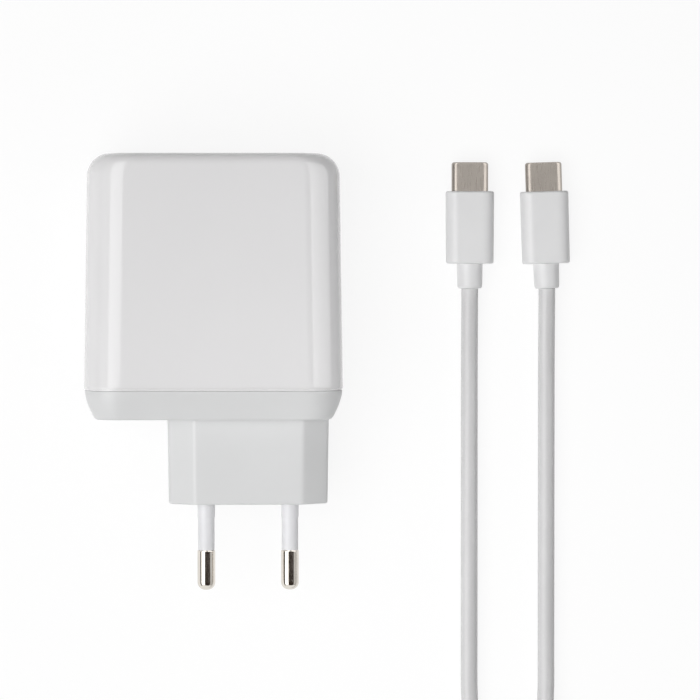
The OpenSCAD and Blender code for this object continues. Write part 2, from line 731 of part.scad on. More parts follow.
module plug_insert() color("dimgray")
    difference() {
        along_y(-plug_out - plug_in, plug_out + plug_in - 0.3)
            stadium(plug_w - 2 * (plug_wall + fit_gap), plug_h - 2 * (plug_wall + fit_gap));
        along_y(-0.3 - slot_depth, slot_depth + 1) square([slot_w, slot_h], center = true);
    }

module plug_contacts() color("gold") contact_rows(-0.3 - slot_depth, slot_depth - 1, slot_h / 2 - 0.1, 0.1);

module plug_board() color("darkgreen")
    translate([0, -plug_out - plug_in - fit_gap - paddle_len, mid_z])
        linear_extrude(paddle_t, center = true) translate([-plug_w / 2 + 0.4, 0]) square([plug_w - 0.8, paddle_len]);

module plug_overmould() color("whitesmoke") {
    board_room = paddle_len + 2 * fit_gap;
    difference() {
        along_y(-plug_out - mould_len, mould_len) rounded_rect(mould_w, mould_h, mould_r);
        along_y(-plug_out - plug_in, plug_in + 1) stadium(plug_w + 2 * fit_gap, plug_h + 2 * fit_gap);
        along_y(-plug_out - plug_in - board_room, board_room + sliver)
            square([plug_w - 0.8 + 2 * fit_gap, paddle_t + 2 * fit_gap], center = true);
    }
}

// The strain relief: a collar that narrows a little, with its end eased down to the cable
module plug_boot() color("whitesmoke") {
    ease = 0.7;
    narrow_d = boot_d - 0.2;
    translate([0, -plug_out - mould_len, mid_z]) rotate([90, 0, 0]) {
        cylinder(d1 = boot_d, d2 = narrow_d, h = boot_len - ease);
        translate([0, 0, boot_len - ease]) cylinder(d1 = narrow_d, d2 = narrow_d - 2 * ease, h = ease);
    }
}

// ---- Cable ----

// The coil winds in on the lower layer, climbs in the half turn where it reverses, and winds out
function coil_radius(turn) =
    turn < layer_turns ? coil_out_r - coil_pitch * turn : coil_in_r + coil_pitch * (turn - layer_turns);
function coil_height(turn) =
    let (s = min(max((turn - layer_turns) * 2 + 0.5, 0), 1))
    coil_z0 + coil_layer * s * s * (3 - 2 * s);
coil_path = [for (k = [0 : coil_steps])
    let (turn = k / coil_fn, a = coil_start + 360 * turn, r = coil_radius(turn))
    [coil_x + r * cos(a), coil_y + r * sin(a), coil_height(turn)]];

// Directions in which the cable runs into the coil and out of it
coil_in_way = [-sin(coil_start), cos(coil_start), 0];
coil_end_angle = coil_start + 360 * 2 * layer_turns;
coil_out_way = [-sin(coil_end_angle), cos(coil_end_angle), 0];
coil_end_a = coil_path[0] - cord_d * coil_in_way;
coil_end_b = coil_path[coil_steps] + cord_d * coil_out_way;

function lead_route(x, route, coil_end) = concat([[x, boot_y, plug_z]], route, [coil_end]);

module cable_lead_a() color("whitesmoke")
    tube(lead_route(plug_a_x, LEAD_A, coil_end_a), cord_z, 8, [0, -1, 0], coil_in_way);

module cable_lead_b() color("whitesmoke")
    tube(lead_route(plug_b_x, LEAD_B, coil_end_b), cord_z, 8,
         [sin(plug_b_turn), -cos(plug_b_turn), 0], -coil_out_way);

module cable_coil() color("whitesmoke")
    tube(concat([coil_end_a], coil_path, [coil_end_b]), cord_z, 6, coil_in_way, coil_out_way);

// Least gap between a turn and the turns after it, measured on points of the middle line
coil_gap = min([for (i = [0 : coil_steps - coil_fn / 2])
    min([for (j = [i + coil_fn / 2 : coil_steps]) norm(coil_path[i] - coil_path[j])])]) - cord_d;
echo(coil_least_gap = coil_gap);
function path_length(p) =
    [for (i = [1 : len(p) - 1]) norm(p[i] - p[i - 1])] * [for (i = [1 : len(p) - 1]) 1];
echo(cable_length = path_length(lead_route(plug_a_x, LEAD_A, coil_end_a)) + path_length(coil_path)
    + path_length(lead_route(plug_b_x, LEAD_B, coil_end_b)) + 2 * cord_d);

// A strap round the far side of the coil, with a buckle block on its outer side
module cable_tie() color("lightgray") {
    chord_rise = 0.7;                   // how far the inner turn curves away over the strap's width
    near = coil_in_r + coil_pitch * 0.5 - cord_z - tie_gap - chord_rise;
    far = coil_out_r - coil_pitch * 0.25 + cord_z + tie_gap;
    height = coil_z1 + cord_z + tie_gap - tie_t;
    translate([coil_x, coil_y, 0]) difference() {
        translate([-tie_w / 2, -far - tie_t, 0]) cube([tie_w, far - near + 2 * tie_t, height + 2 * tie_t]);
        translate([-tie_w / 2 - 1, -far, tie_t]) cube([tie_w + 2, far - near, height]);
    }
}

upper_shell();
base_cap();
pin_at(pin_xs[0]);  // pin_left
pin_at(pin_xs[1]);  // pin_right
sleeve_at(pin_xs[0]);  // pin_sleeve_left
sleeve_at(pin_xs[1]);  // pin_sleeve_right
strip_at(pin_xs[0]);  // pin_strip_left
strip_at(pin_xs[1]);  // pin_strip_right
insulating_films();
heat_spreader_back();
heat_spreader_front();
thermal_pad_back();
thermal_pad_front();
main_board();
power_switch();
sync_rectifier();
controller_chip();
transformer_core();
transformer_bobbin();
transformer_winding();
bulk_capacitors();
common_mode_choke();
choke_windings();
interference_capacitor();
bridge_rectifier();
input_fuse();
safety_capacitor();
output_capacitors();
port_board();
port_chip();
receptacle_shell();
receptacle_tongue();
receptacle_contacts();
cable_lead_a();
cable_lead_b();
cable_coil();
cable_tie();
plug_at(plug_a_x, 0) plug_shell();  // plug_a_shell
plug_at(plug_a_x, 0) plug_insert();  // plug_a_insert
plug_at(plug_a_x, 0) plug_contacts();  // plug_a_contacts
plug_at(plug_a_x, 0) plug_board();  // plug_a_board
plug_at(plug_a_x, 0) plug_overmould();  // plug_a_overmould
plug_at(plug_a_x, 0) plug_boot();  // plug_a_boot
plug_at(plug_b_x, plug_b_turn) plug_shell();  // plug_b_shell
plug_at(plug_b_x, plug_b_turn) plug_insert();  // plug_b_insert
plug_at(plug_b_x, plug_b_turn) plug_contacts();  // plug_b_contacts
plug_at(plug_b_x, plug_b_turn) plug_board();  // plug_b_board
plug_at(plug_b_x, plug_b_turn) plug_overmould();  // plug_b_overmould
plug_at(plug_b_x, plug_b_turn) plug_boot();  // plug_b_boot
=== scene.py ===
# %% [markdown]
# # A laptop power adapter and its USB-C cable
#
# The measured model gives every piece its size and place, in metres. This notebook dresses it: it
# makes smooth skins for the mouldings, turned pins, a real cable, and a finish for every piece.
# The adapter lies on its back. +Y points away from its mains pins, and +Z up through its thickness.

# %% Load the measured model
import json
import math

import bmesh
import bpy
import numpy as np
from mathutils import Matrix, Vector


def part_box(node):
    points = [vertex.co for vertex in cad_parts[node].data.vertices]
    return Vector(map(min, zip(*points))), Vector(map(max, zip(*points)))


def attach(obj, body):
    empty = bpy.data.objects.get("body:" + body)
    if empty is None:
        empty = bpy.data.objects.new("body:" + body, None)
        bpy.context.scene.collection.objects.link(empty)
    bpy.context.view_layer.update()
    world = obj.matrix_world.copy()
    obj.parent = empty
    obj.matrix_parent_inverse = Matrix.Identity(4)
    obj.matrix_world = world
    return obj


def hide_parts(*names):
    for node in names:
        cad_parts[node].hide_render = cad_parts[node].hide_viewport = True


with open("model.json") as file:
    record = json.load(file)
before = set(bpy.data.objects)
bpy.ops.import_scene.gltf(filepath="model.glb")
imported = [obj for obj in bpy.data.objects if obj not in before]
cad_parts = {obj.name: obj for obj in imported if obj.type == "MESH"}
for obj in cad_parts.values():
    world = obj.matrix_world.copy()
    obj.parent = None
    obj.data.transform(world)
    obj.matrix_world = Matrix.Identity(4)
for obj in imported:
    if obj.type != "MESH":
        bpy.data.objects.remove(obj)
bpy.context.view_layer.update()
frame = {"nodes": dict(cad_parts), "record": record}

MM = 0.001                                  # shapes are drawn in millimetres and made in metres

# %% [markdown]
# ## Camera
#
# A long lens from straight above keeps the sides of the adapter almost hidden, as in a catalogue
# picture. It stands a little to the left, so the right-hand edges fall away from it.

# %% Camera
camera_at = Vector((-0.00907, 0.03592, 1.0))
camera_aim = Vector((0.03038, 0.00483, 0.014))
camera_data = bpy.data.cameras.new("camera")
camera_data.sensor_width = 36
camera_data.lens = 228.25
camera = bpy.data.objects.new("camera", camera_data)
bpy.context.collection.objects.link(camera)
back = (camera_at - camera_aim).normalized()
right = Vector((0, 1, 0)).cross(back).normalized()
axes = Matrix((right, back.cross(right), back)).transposed().to_4x4()
camera.matrix_world = Matrix.Translation(camera_at) @ axes
bpy.context.scene.camera = camera
print("camera", round((camera_at - camera_aim).length, 3), "m away")

# %% [markdown]
# ## The cable's route
#
# A cable is a fixed length of something springy. One curve follows its whole way: out of the first
# plug, straight across the table, round a flat coil of two layers, and back to the second plug.
# A curve with a round bevel keeps its thickness everywhere, and its length can be measured.

# %% The coil, as points
CABLE_D = 3.8
COIL_MIDDLE = (66.5, -122.8)
COIL_IN, COIL_PITCH, LAYER_TURNS = 15.2, 4.5, 3.875
COIL_OUT = COIL_IN + LAYER_TURNS * COIL_PITCH
COIL_LOW, LAYER_STEP, COIL_START = 2.45, 4.4, 135
STEPS_PER_TURN = 16


def coil_point(turn):
    """A place on the coil: in on the lower layer, up at the middle, and out on the upper one."""
    if turn < LAYER_TURNS:
        radius = COIL_OUT - COIL_PITCH * turn
    else:
        radius = COIL_IN + COIL_PITCH * (turn - LAYER_TURNS)
    angle = math.radians(COIL_START + 360 * turn)
    rise = min(max((turn - LAYER_TURNS) * 2 + 0.5, 0), 1)
    height = COIL_LOW + LAYER_STEP * rise * rise * (3 - 2 * rise)
    x, y = radius * math.cos(angle), radius * math.sin(angle)
    return Vector((COIL_MIDDLE[0] + x, COIL_MIDDLE[1] + y, height))


def coil_way(turn):
    """The way that the coil goes at that place."""
    angle = math.radians(COIL_START + 360 * turn)
    return Vector((-math.sin(angle), math.cos(angle), 0))


coil_steps = int(2 * LAYER_TURNS * STEPS_PER_TURN)
coil_points = [coil_point(k / STEPS_PER_TURN) for k in range(coil_steps + 1)]
print(len(coil_points), "points round the coil")

# %% The whole route
BOOT_END = 18.3
PLUG_A_X, PLUG_B_X, PLUG_Z = 57.8, 75.2, 3.0
LYING = CABLE_D / 2                         # height of the middle line on the table
lead_a = [(PLUG_A_X, 15, 2.9), (PLUG_A_X, 8, 2.4)]
lead_a += [(PLUG_A_X, y, LYING) for y in range(0, -80, -10)]
lead_a += [(PLUG_A_X, -78, LYING), (56.1, -85.6, LYING), (51.6, -92.1, 2.1)]
lead_b = [(PLUG_B_X, 15, 2.9), (PLUG_B_X, 8, 2.4)]
lead_b += [(PLUG_B_X, y, LYING) for y in range(0, -70, -10)]
lead_b += [(PLUG_B_X, -70, 2.2), (PLUG_B_X, -78, 3.1), (76.9, -85.6, 4.5), (81.4, -92.1, 5.9)]
route = [Vector((PLUG_A_X, BOOT_END, PLUG_Z))] + [Vector(p) for p in lead_a]
route += [coil_points[0] - CABLE_D * coil_way(0)] + coil_points
route += [coil_points[-1] + CABLE_D * coil_way(2 * LAYER_TURNS)]
route += [Vector(p) for p in reversed(lead_b)] + [Vector((PLUG_B_X, BOOT_END, PLUG_Z))]
cable_length = sum((b - a).length for a, b in zip(route, route[1:])) * MM
print("route of", len(route), "points,", round(cable_length, 3), "m")

# %% The cable
cable_curve = bpy.data.curves.new("cable", "CURVE")
cable_curve.dimensions = "3D"
cable_curve.bevel_depth = 1.0               # times each point's radius
cable_curve.bevel_resolution = 5
cable_curve.resolution_u = 5
cable_curve.use_fill_caps = True
spline = cable_curve.splines.new("BEZIER")
spline.bezier_points.add(len(route) - 1)
for knot, place in zip(spline.bezier_points, route):
    knot.co = place * MM
    knot.handle_left_type = knot.handle_right_type = "AUTO"
    knot.radius = CABLE_D / 2 * MM
cable = bpy.data.objects.new("cable", cable_curve)
bpy.context.collection.objects.link(cable)
print("cable of", len(spline.bezier_points), "knots")

# %% [markdown]
# ## Outlines and lofts
#
# Every moulding here is a stack of closed outlines: a round-cornered rectangle that grows, shrinks
# and turns in. A loft joins each outline to the next with four-sided faces. Where the last outline
# joins the first again, the skin has an inside as well as an outside, as a real moulding has.

# %% Helper: a round-cornered outline
LEAST_FLAT = 0.01                           # what stays straight beside a full round end
BESIDE_CORNER = 0.3                         # how close to a corner the spare points lie


def rounded_outline(half_w, half_t, radius, steps=16, middle=(0, 0)):
    """Points (x, z) round a rectangle. Spare points near each corner keep the flats truly flat."""
    radius = min(radius, half_w - LEAST_FLAT, half_t - LEAST_FLAT)
    points = []
    for quarter in range(4):
        turn = math.radians(90 * quarter)
        cx = (half_w - radius) * (1 if quarter in (0, 3) else -1)
        cz = (half_t - radius) * (1 if quarter in (0, 1) else -1)
        arc = [turn + math.radians(90 * k / steps) for k in range(steps + 1)]
        corner = [(cx + radius * math.cos(a), cz + radius * math.sin(a)) for a in arc]
        if points:
            points += along(points[-1], corner[0])
        points += corner
    points += along(points[-1], points[0])
    return [(x + middle[0], z + middle[1]) for x, z in points]


def along(a, b):
    """Four points on the flat between two corners, two of them close beside the corners."""
    length = math.hypot(b[0] - a[0], b[1] - a[1])
    near = min(BESIDE_CORNER / max(length, 0.001), 0.2)
    shares = (near, 0.35, 0.65, 1 - near)
    return [(a[0] + (b[0] - a[0]) * s, a[1] + (b[1] - a[1]) * s) for s in shares]


print(len(rounded_outline(10, 5, 2)), "points in an outline")

# %% Helper: join outlines into a closed skin
SAME_PLACE = 1e-7                           # metres


def loft(rings, closed=False):
    """Vertices and faces through rings of equally many points. A fan closes each open end."""
    n = len(rings[0])
    verts = [Vector(p) for ring in rings for p in ring]
    faces = []
    spans = len(rings) if closed else len(rings) - 1
    for i in range(spans):
        a, b = i * n, (i + 1) % len(rings) * n
        faces += [(a + k, a + (k + 1) % n, b + (k + 1) % n, b + k) for k in range(n)]
    if not closed:
        for start in (0, (len(rings) - 1) * n):
            verts.append(sum((verts[start + k] for k in range(n)), Vector()) / n)
            faces += [(start + k, start + (k + 1) % n, len(verts) - 1) for k in range(n)]
    return verts, faces


def make_piece(name, parts, place=Matrix(), sharp=32):
    """One object from a list of (vertices, faces) in millimetres, with its place in its mesh."""
    mesh = bpy.data.meshes.new(name)
    verts, faces = [], []
    for part_verts, part_faces in parts:
        faces += [tuple(len(verts) + i for i in face) for face in part_faces]
        verts += [(place @ Vector(v)) * MM for v in part_verts]
    mesh.from_pydata(verts, [], faces)
    shape = bmesh.new()
    shape.from_mesh(mesh)
    bmesh.ops.remove_doubles(shape, verts=shape.verts, dist=SAME_PLACE)
    bmesh.ops.recalc_face_normals(shape, faces=shape.faces)
    shape.to_mesh(mesh)
    shape.free()
    mesh.shade_smooth()
    mesh.set_sharp_from_angle(angle=math.radians(sharp))
    piece = bpy.data.objects.new(name, mesh)
    bpy.context.collection.objects.link(piece)
    print(name, len(mesh.polygons), "faces")
    return piece


# %% [markdown]
# ## The upper shell
#
# This is the glossy white box. Its sides draw in by 0.7 mm towards the port end, which lets it out
# of its mould. At that end the sides turn in by a large radius, and the front and back by a small
# one, so each outline there has its own width and its own thickness.

# %% Sizes of the housing
BODY_W, BODY_T, CORNER, WALL, DRAFT = 57.2, 28.0, 8.0, 2.0, 0.7
TOP, SEAM, CAP, BLOCK_END = 48.5, -3.5, -10.2, -29.2
MID_Z = BODY_T / 2
SIDE_TURN, EDGE_TURN = 5.2, 2.4
PORT_GAP = 0.2                              # round the metal shell of the port
PORT_W, PORT_H = 8.94 + 2 * PORT_GAP, 3.26 + 2 * PORT_GAP


def ring_at(y, outline):
    return [(x, y, z) for x, z in outline]


def housing_outline(dx, dz):
    return rounded_outline(BODY_W / 2 - dx, BODY_T / 2 - dz, CORNER - dz, middle=(0, MID_Z))


# %% Rings of the upper shell
def shell_rings(inset):
    """Outlines of the shell, made smaller by inset, from just above the seam to the port end."""
    side, edge = SIDE_TURN - inset, max(EDGE_TURN - inset, 0.5)
    start, straight = SEAM + 0.2, TOP - inset - side
    rings = []
    for s in (0, 0.01, 0.1, 0.3, 0.5, 0.7, 0.9, 0.99):
        y = start + (straight - start) * s
        drawn_in = DRAFT * (y - SEAM) / (straight - SEAM)
        rings.append(ring_at(y, housing_outline(inset + drawn_in, inset)))
    for angle in range(0, 91, 5):
        rise = side * math.sin(math.radians(angle))
        dx = DRAFT + inset + side * (1 - math.cos(math.radians(angle)))
        up = max(rise - side + edge, 0)
        dz = inset + edge - math.sqrt(max(edge * edge - up * up, 0))
        rings.append(ring_at(straight + rise, housing_outline(dx, dz)))
    return rings


def port_outline(grow):
    half_w, half_h = PORT_W / 2 + grow, PORT_H / 2 + grow
    return rounded_outline(half_w, half_h, half_h, middle=(0, MID_Z))


outer = [ring_at(SEAM, housing_outline(0.2, 0.2))]
outer += [ring_at(SEAM + 0.06, housing_outline(0.06, 0.06))]
outer += shell_rings(0)
end_flat = ring_at(TOP, housing_outline(DRAFT + SIDE_TURN + 0.4, EDGE_TURN + 0.4))
port = [ring_at(TOP, port_outline(grow)) for grow in (0.5, 0.2)]
port += [ring_at(y, port_outline(0)) for y in (TOP - 0.2, TOP - WALL)]
inner = list(reversed(shell_rings(WALL)))
inner += [ring_at(SEAM, housing_outline(WALL, WALL))]
# a tongue on the rim makes the groove shallow, so that light reaches its floor
TONGUE = 0.26
for inset, y in ((1.22, SEAM), (1.2, SEAM - TONGUE), (0.32, SEAM - TONGUE), (0.3, SEAM)):
    inner.append(ring_at(y, housing_outline(inset, inset)))
print(len(outer), "rings outside,", len(inner), "inside")

# %% The upper shell, with the rails that hold the board
def block(low, high):
    """A plain rectangular part of a moulding, from its lowest to its highest corner."""
    xs, ys, zs = zip(low, high)
    verts = [(x, y, z) for x in xs for y in ys for z in zs]
    faces = [(0, 1, 3, 2), (4, 6, 7, 5), (0, 4, 5, 1), (2, 3, 7, 6), (0, 2, 6, 4), (1, 5, 7, 3)]
    return verts, faces


RAIL_T, RAIL_GRIP, RAIL_GAP = 1.2, 0.8, 0.05
board_low, board_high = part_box("main_board")
rail_ys = (SEAM + 6, board_high[1] / MM - 3)
rails = []
for side in (-1, 1):
    xs = sorted((side * (board_high[0] / MM - RAIL_GRIP), side * (BODY_W / 2 - 1)))
    for low_z in (board_low[2] / MM - RAIL_GAP - RAIL_T, board_high[2] / MM + RAIL_GAP):
        rails.append(block((xs[0], rail_ys[0], low_z), (xs[1], rail_ys[1], low_z + RAIL_T)))
upper_shell = make_piece("housing", [loft(outer + [end_flat] + port + inner, closed=True)] + rails)
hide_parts("upper_shell")
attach(upper_shell, "adapter")

# %% [markdown]
# ## The base cap and its plug block
#
# The cap closes the box below a fine groove and carries the six-sided block that goes into the
# wall. Both are one moulding. Their outlines share no middle, so each is cut by the same fan of
# rays from the block's middle. Points on one ray then join up without a twist.

# %% Outlines seen from the middle of the block
BLOCK_X = 7.7
BLOCK_W, BLOCK_T, BLOCK_FLAT, BLOCK_BLUNT = 35.8, 13.7, 24.4, 3.0
BLOCK_EDGE, BLOCK_END_EDGE, BLOCK_DRAFT = 1.8, 0.45, 0.28
BLOCK_WALL, BLOCK_FLOOR = 2.0, 3.0
FLAT_SHARE = 0.4                            # how much of an inset the flat's ends take up
CORNER_STEPS = 8


def block_outline(inset, radius):
    """The block's six sides with round corners, as a dense list of points."""
    w, t = BLOCK_W / 2 - inset - BLOCK_EDGE, BLOCK_T / 2 - inset - BLOCK_EDGE
    f, b = BLOCK_FLAT / 2 - inset * FLAT_SHARE - BLOCK_EDGE * FLAT_SHARE, BLOCK_BLUNT / 2
    middles = [(w, -b), (w, b), (f, t), (-f, t), (-w, b), (-w, -b), (-f, -t), (f, -t)]
    points = []
    for i, (x, z) in enumerate(middles):
        before, after = middles[i - 1], middles[(i + 1) % 8]
        first = math.atan2(z - before[1], x - before[0]) - math.pi / 2
        last = math.atan2(after[1] - z, after[0] - x) - math.pi / 2
        last += 2 * math.pi if last < first - 0.001 else 0
        for k in range(CORNER_STEPS + 1):
            a = first + (last - first) * k / CORNER_STEPS
            points.append((x + radius * math.cos(a) + BLOCK_X, z + radius * math.sin(a) + MID_Z))
    return points


def polar(points):
    """Angle and distance of an outline's points from the block's middle, sorted by angle."""
    from_middle = np.array(points) - (BLOCK_X, MID_Z)
    angle = np.arctan2(from_middle[:, 1], from_middle[:, 0])
    order = np.argsort(angle)
    return angle[order], np.hypot(from_middle[:, 0], from_middle[:, 1])[order]


LEAST_STEP = 0.004                          # radians between rays
outlines = (housing_outline(1, 1), block_outline(0, BLOCK_EDGE), block_outline(0, 0.3))
even_ways = np.linspace(-math.pi, math.pi, 48, endpoint=False)
rays = np.concatenate([polar(outline)[0] for outline in outlines] + [even_ways])
rays = np.unique(np.round(rays, 3))
rays = rays[np.concatenate([[True], np.diff(rays) > LEAST_STEP])]
print(len(rays), "rays")


def cut(points, y):
    """The ring where the rays meet an outline at height y. Straight sides stay straight."""
    angle, reach = polar(points)
    angle = np.concatenate([angle[-1:] - 2 * math.pi, angle, angle[:1] + 2 * math.pi])
    reach = np.concatenate([reach[-1:], reach, reach[:1]])
    ring = []
    for ray in rays:
        k = int(np.searchsorted(angle, ray, side="right"))
        k = min(max(k, 1), len(angle) - 1)
        a, b = angle[k - 1], angle[k]
        pa = reach[k - 1] * np.array((math.cos(a), math.sin(a)))
        pb = reach[k] * np.array((math.cos(b), math.sin(b)))
        across, way = pb - pa, np.array((math.cos(ray), math.sin(ray)))
        bottom = way[0] * across[1] - way[1] * across[0]
        far = reach[k] if abs(bottom) < 1e-9 else (pa[0] * across[1] - pa[1] * across[0]) / bottom
        ring.append((BLOCK_X + far * way[0], y, MID_Z + far * way[1]))
    return ring


# %% Rings of the cap and block
CAP_TAPER, SEAM_GAP, CAP_FLOOR, LIP, LIP_T = 2.3, 0.3, 2.0, 3.0, 1.2
CAP_STEP, CAP_RIM, CAP_EDGE, CAP_FLAT, FILLET = 0.15, 0.2, 0.5, 0.7, 0.6
cap_top = SEAM - SEAM_GAP


def cap_draw(y):
    """How far the cap's sides have drawn in at height y."""
    return CAP_STEP + CAP_TAPER * ((cap_top - y) / (cap_top - CAP)) ** 1.6


def cap_ring(y, extra=0.0):
    return cut(housing_outline(cap_draw(y) + extra, cap_draw(y) + extra), y)


cap_rings = [cap_ring(cap_top, CAP_RIM), cap_ring(cap_top - 0.05, 0.05)]
cap_side = cap_top - CAP_RIM - CAP - CAP_EDGE
cap_rings += [cap_ring(cap_top - CAP_RIM - cap_side * s) for s in np.linspace(0, 1, 12)]
for angle in range(15, 91, 15):
    turn = math.radians(angle)
    y = CAP + CAP_EDGE * (1 - math.sin(turn))
    cap_rings.append(cap_ring(y, CAP_FLAT / 2 * (1 - math.cos(turn))))
cap_rings.append(cap_ring(CAP, CAP_FLAT))
for angle in range(0, 91, 18):
    turn = math.radians(angle)
    grow = FILLET * (1 - math.sin(turn))
    cap_rings.append(cut(block_outline(0, BLOCK_EDGE + grow), CAP - FILLET * (1 - math.cos(turn))))
for s in (0.02, 0.3, 0.6, 0.98):
    y = CAP - FILLET + (BLOCK_END + BLOCK_END_EDGE - CAP + FILLET) * s
    cap_rings.append(cut(block_outline(BLOCK_DRAFT * s, BLOCK_EDGE), y))
for angle in range(0, 91, 15):
    turn = math.radians(angle)
    y = BLOCK_END + BLOCK_END_EDGE * (1 - math.sin(turn))
    radius = BLOCK_EDGE - BLOCK_END_EDGE * (1 - math.cos(turn))
    cap_rings.append(cut(block_outline(BLOCK_DRAFT, radius), y))
cap_rings.append(cut(block_outline(BLOCK_DRAFT, BLOCK_EDGE - BLOCK_END_EDGE - 0.3), BLOCK_END))
print(len(cap_rings), "rings outside the cap")

# %% The base cap
lip_out = WALL + CAP_STEP + DRAFT * 0.06
lip_in = lip_out + LIP_T
cap_inside = []
lip_path = ((lip_out, cap_top), (lip_out, SEAM + LIP), (lip_in, SEAM + LIP), (lip_in, SEAM - 2))
for inset, y in lip_path:
    cap_inside.append(cut(housing_outline(inset, inset), y))
cap_inside.append(cap_ring(CAP + CAP_FLOOR, WALL + LIP_T))
for y in (CAP + CAP_FLOOR, BLOCK_END + BLOCK_FLOOR):
    cap_inside.append(cut(block_outline(BLOCK_WALL, BLOCK_EDGE), y))
cap_skin = loft(list(reversed(cap_inside)) + cap_rings)
base_cap = make_piece("cap_with_plug_block", [cap_skin])
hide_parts("base_cap")
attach(base_cap, "adapter")

# %% [markdown]
# ## Mains pins and their sleeves
#
# A mains pin is turned on a lathe from a round bar, and a lathe is also the quick way to model it:
# one half outline, swept round the pin's axis. The white sleeve is moulded over its thinner neck,
# so that a finger can't touch live metal while the pins are half way in.

# %% Helper: turn an outline on a lathe
def turned(profile, x, z, closed=False, steps=48):
    """Sweeps (radius, y) points round an axis along Y at x, z."""
    ways = [math.radians(360 * k / steps) for k in range(steps)]
    rings = [[(x + r * math.cos(a), y, z + r * math.sin(a)) for a in ways] for r, y in profile]
    return loft(rings, closed=closed)


def soft_corner(before, corner, after, radius, steps=4):
    """A corner of an outline, rounded off."""
    b, c, a = (Vector(p) for p in (before, corner, after))
    start, end = c + (b - c).normalized() * radius, c + (a - c).normalized() * radius
    shares = [k / steps for k in range(steps + 1)]
    return [tuple(start.lerp(c, s).lerp(c.lerp(end, s), s)) for s in shares]


# %% The pins
BARE_END, TIP_END = -39.7, -48.5
PIN_APART = 18.6
PIN_XS = {"left": BLOCK_X - PIN_APART / 2, "right": BLOCK_X + PIN_APART / 2}
PIN_R, TIP_R, NECK_R, COLLAR_R, TAIL_R = 2.0, 1.7, 1.5, 2.7, 1.2
collar_low = BLOCK_END + BLOCK_FLOOR + 0.05
collar_high = collar_low + 1.5
tip = [(PIN_R - TIP_R + TIP_R * math.cos(a), TIP_END + TIP_R + TIP_R * math.sin(a))
       for a in (math.radians(-90 + 7.5 * k) for k in range(13))]
shoulder = soft_corner((PIN_R, TIP_END + 3), (PIN_R, BARE_END), (NECK_R, BARE_END), 0.12)
# a ring close to each rounded edge keeps the long straight part's shading straight
pin_profile = tip + [(PIN_R, TIP_END + 1.9), (PIN_R, BARE_END - 0.2)] + shoulder
pin_profile += [(NECK_R, BARE_END), (NECK_R, collar_low), (COLLAR_R, collar_low)]
pin_profile += [(COLLAR_R, collar_high), (TAIL_R, collar_high), (TAIL_R, collar_high + 5)]
for side, x in PIN_XS.items():
    pin = make_piece("mains_pin_" + side, [turned(pin_profile, x, MID_Z)])
    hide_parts("pin_" + side)
    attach(pin, "adapter")

# %% The sleeves
SLEEVE_R, ROOT_R, BORE_R = 1.84, 1.95, 1.55
sleeve_low, sleeve_high = BARE_END + 0.05, BLOCK_END + BLOCK_FLOOR
sleeve_profile = soft_corner((BORE_R, sleeve_low), (SLEEVE_R, sleeve_low), (SLEEVE_R, BLOCK_END),
                             0.12)
sleeve_profile += [(SLEEVE_R, sleeve_low + 0.2), (SLEEVE_R, BLOCK_END - 3.4)]
sleeve_profile += [(SLEEVE_R, BLOCK_END - 3.25), (ROOT_R, BLOCK_END - 2.95), (ROOT_R, sleeve_high)]
sleeve_profile += [(BORE_R, sleeve_high), (BORE_R, sleeve_low)]
for side, x in PIN_XS.items():
    skin = turned(sleeve_profile, x, MID_Z, closed=True)
    sleeve = make_piece("insulating_sleeve_" + side, [skin])
    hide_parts("pin_sleeve_" + side)
    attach(sleeve, "adapter")

# %% [markdown]
# ## The plugs
#
# Each plug has a drawn metal shell, flat with full round ends, a white moulding that the fingers
# hold, and a short collar where the cable leaves it. All three are drawn with the plug's tip at
# y = 0, and then moved to the two places where the plugs lie on the table.

# %% Where the two plugs lie
PLUG_TIP = 46.7
PLUG_OUT, PLUG_IN, GRIP_LEN, COLLAR_LEN = 6.5, 3.0, 16.3, 5.6
TURN_B = 1.8                                # degrees
plug_places = {}
for letter, x, turn in (("a", PLUG_A_X, 0.0), ("b", PLUG_B_X, TURN_B)):
    pivot = Matrix.Translation((x, BOOT_END, PLUG_Z)) @ Matrix.Rotation(math.radians(turn), 4, "Z")
    plug_places[letter] = pivot @ Matrix.Translation((0, PLUG_TIP - BOOT_END, 0))


def turn_in(depth, radius):
    """How far an outline has turned in at a depth behind a rounded end."""
    return radius - math.sqrt(max(radius**2 - (radius - min(depth, radius)) ** 2, 0))


# %% The metal shell of a plug
METAL_W, METAL_T, METAL_WALL = 8.25, 2.4, 0.3


def flat_oval(y, inset_w=0.0, inset_t=0.0):
    half_w, half_t = METAL_W / 2 - inset_w, METAL_T / 2 - inset_t
    return ring_at(y, rounded_outline(half_w, half_t, half_t, steps=10))


oval_rings = [flat_oval(y) for y in (-PLUG_OUT - PLUG_IN, -PLUG_OUT, -4, -2, -0.7)]
for depth in (0.6, 0.5, 0.4, 0.3, 0.2, 0.12, 0.06, 0.02, 0):
    oval_rings.append(flat_oval(-depth, turn_in(depth, 0.6), turn_in(depth, 0.2)))
oval_rings += [flat_oval(-0.1, 0.7, METAL_WALL)]
oval_rings += [flat_oval(y, METAL_WALL, METAL_WALL) for y in (-1.2, -PLUG_OUT - PLUG_IN)]
metal_ends = []
for letter, place in plug_places.items():
    metal = make_piece("plug_metal_" + letter, [loft(oval_rings, closed=True)], place)
    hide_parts(f"plug_{letter}_shell")
    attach(metal, "cable")
    metal_ends.append(metal)

# %% The finger grip and the collar
GRIP_W, GRIP_T, GRIP_CORNER, GRIP_EDGE, GRIP_TAPER = 10.9, 6.0, 2.7, 0.5, 0.1
EDGE_DEPTHS = (0, 0.05, 0.15, 0.3, 0.5)
RELIEF_R, RELIEF_END_R, RELIEF_BORE_R = 2.9, 2.8, 1.0


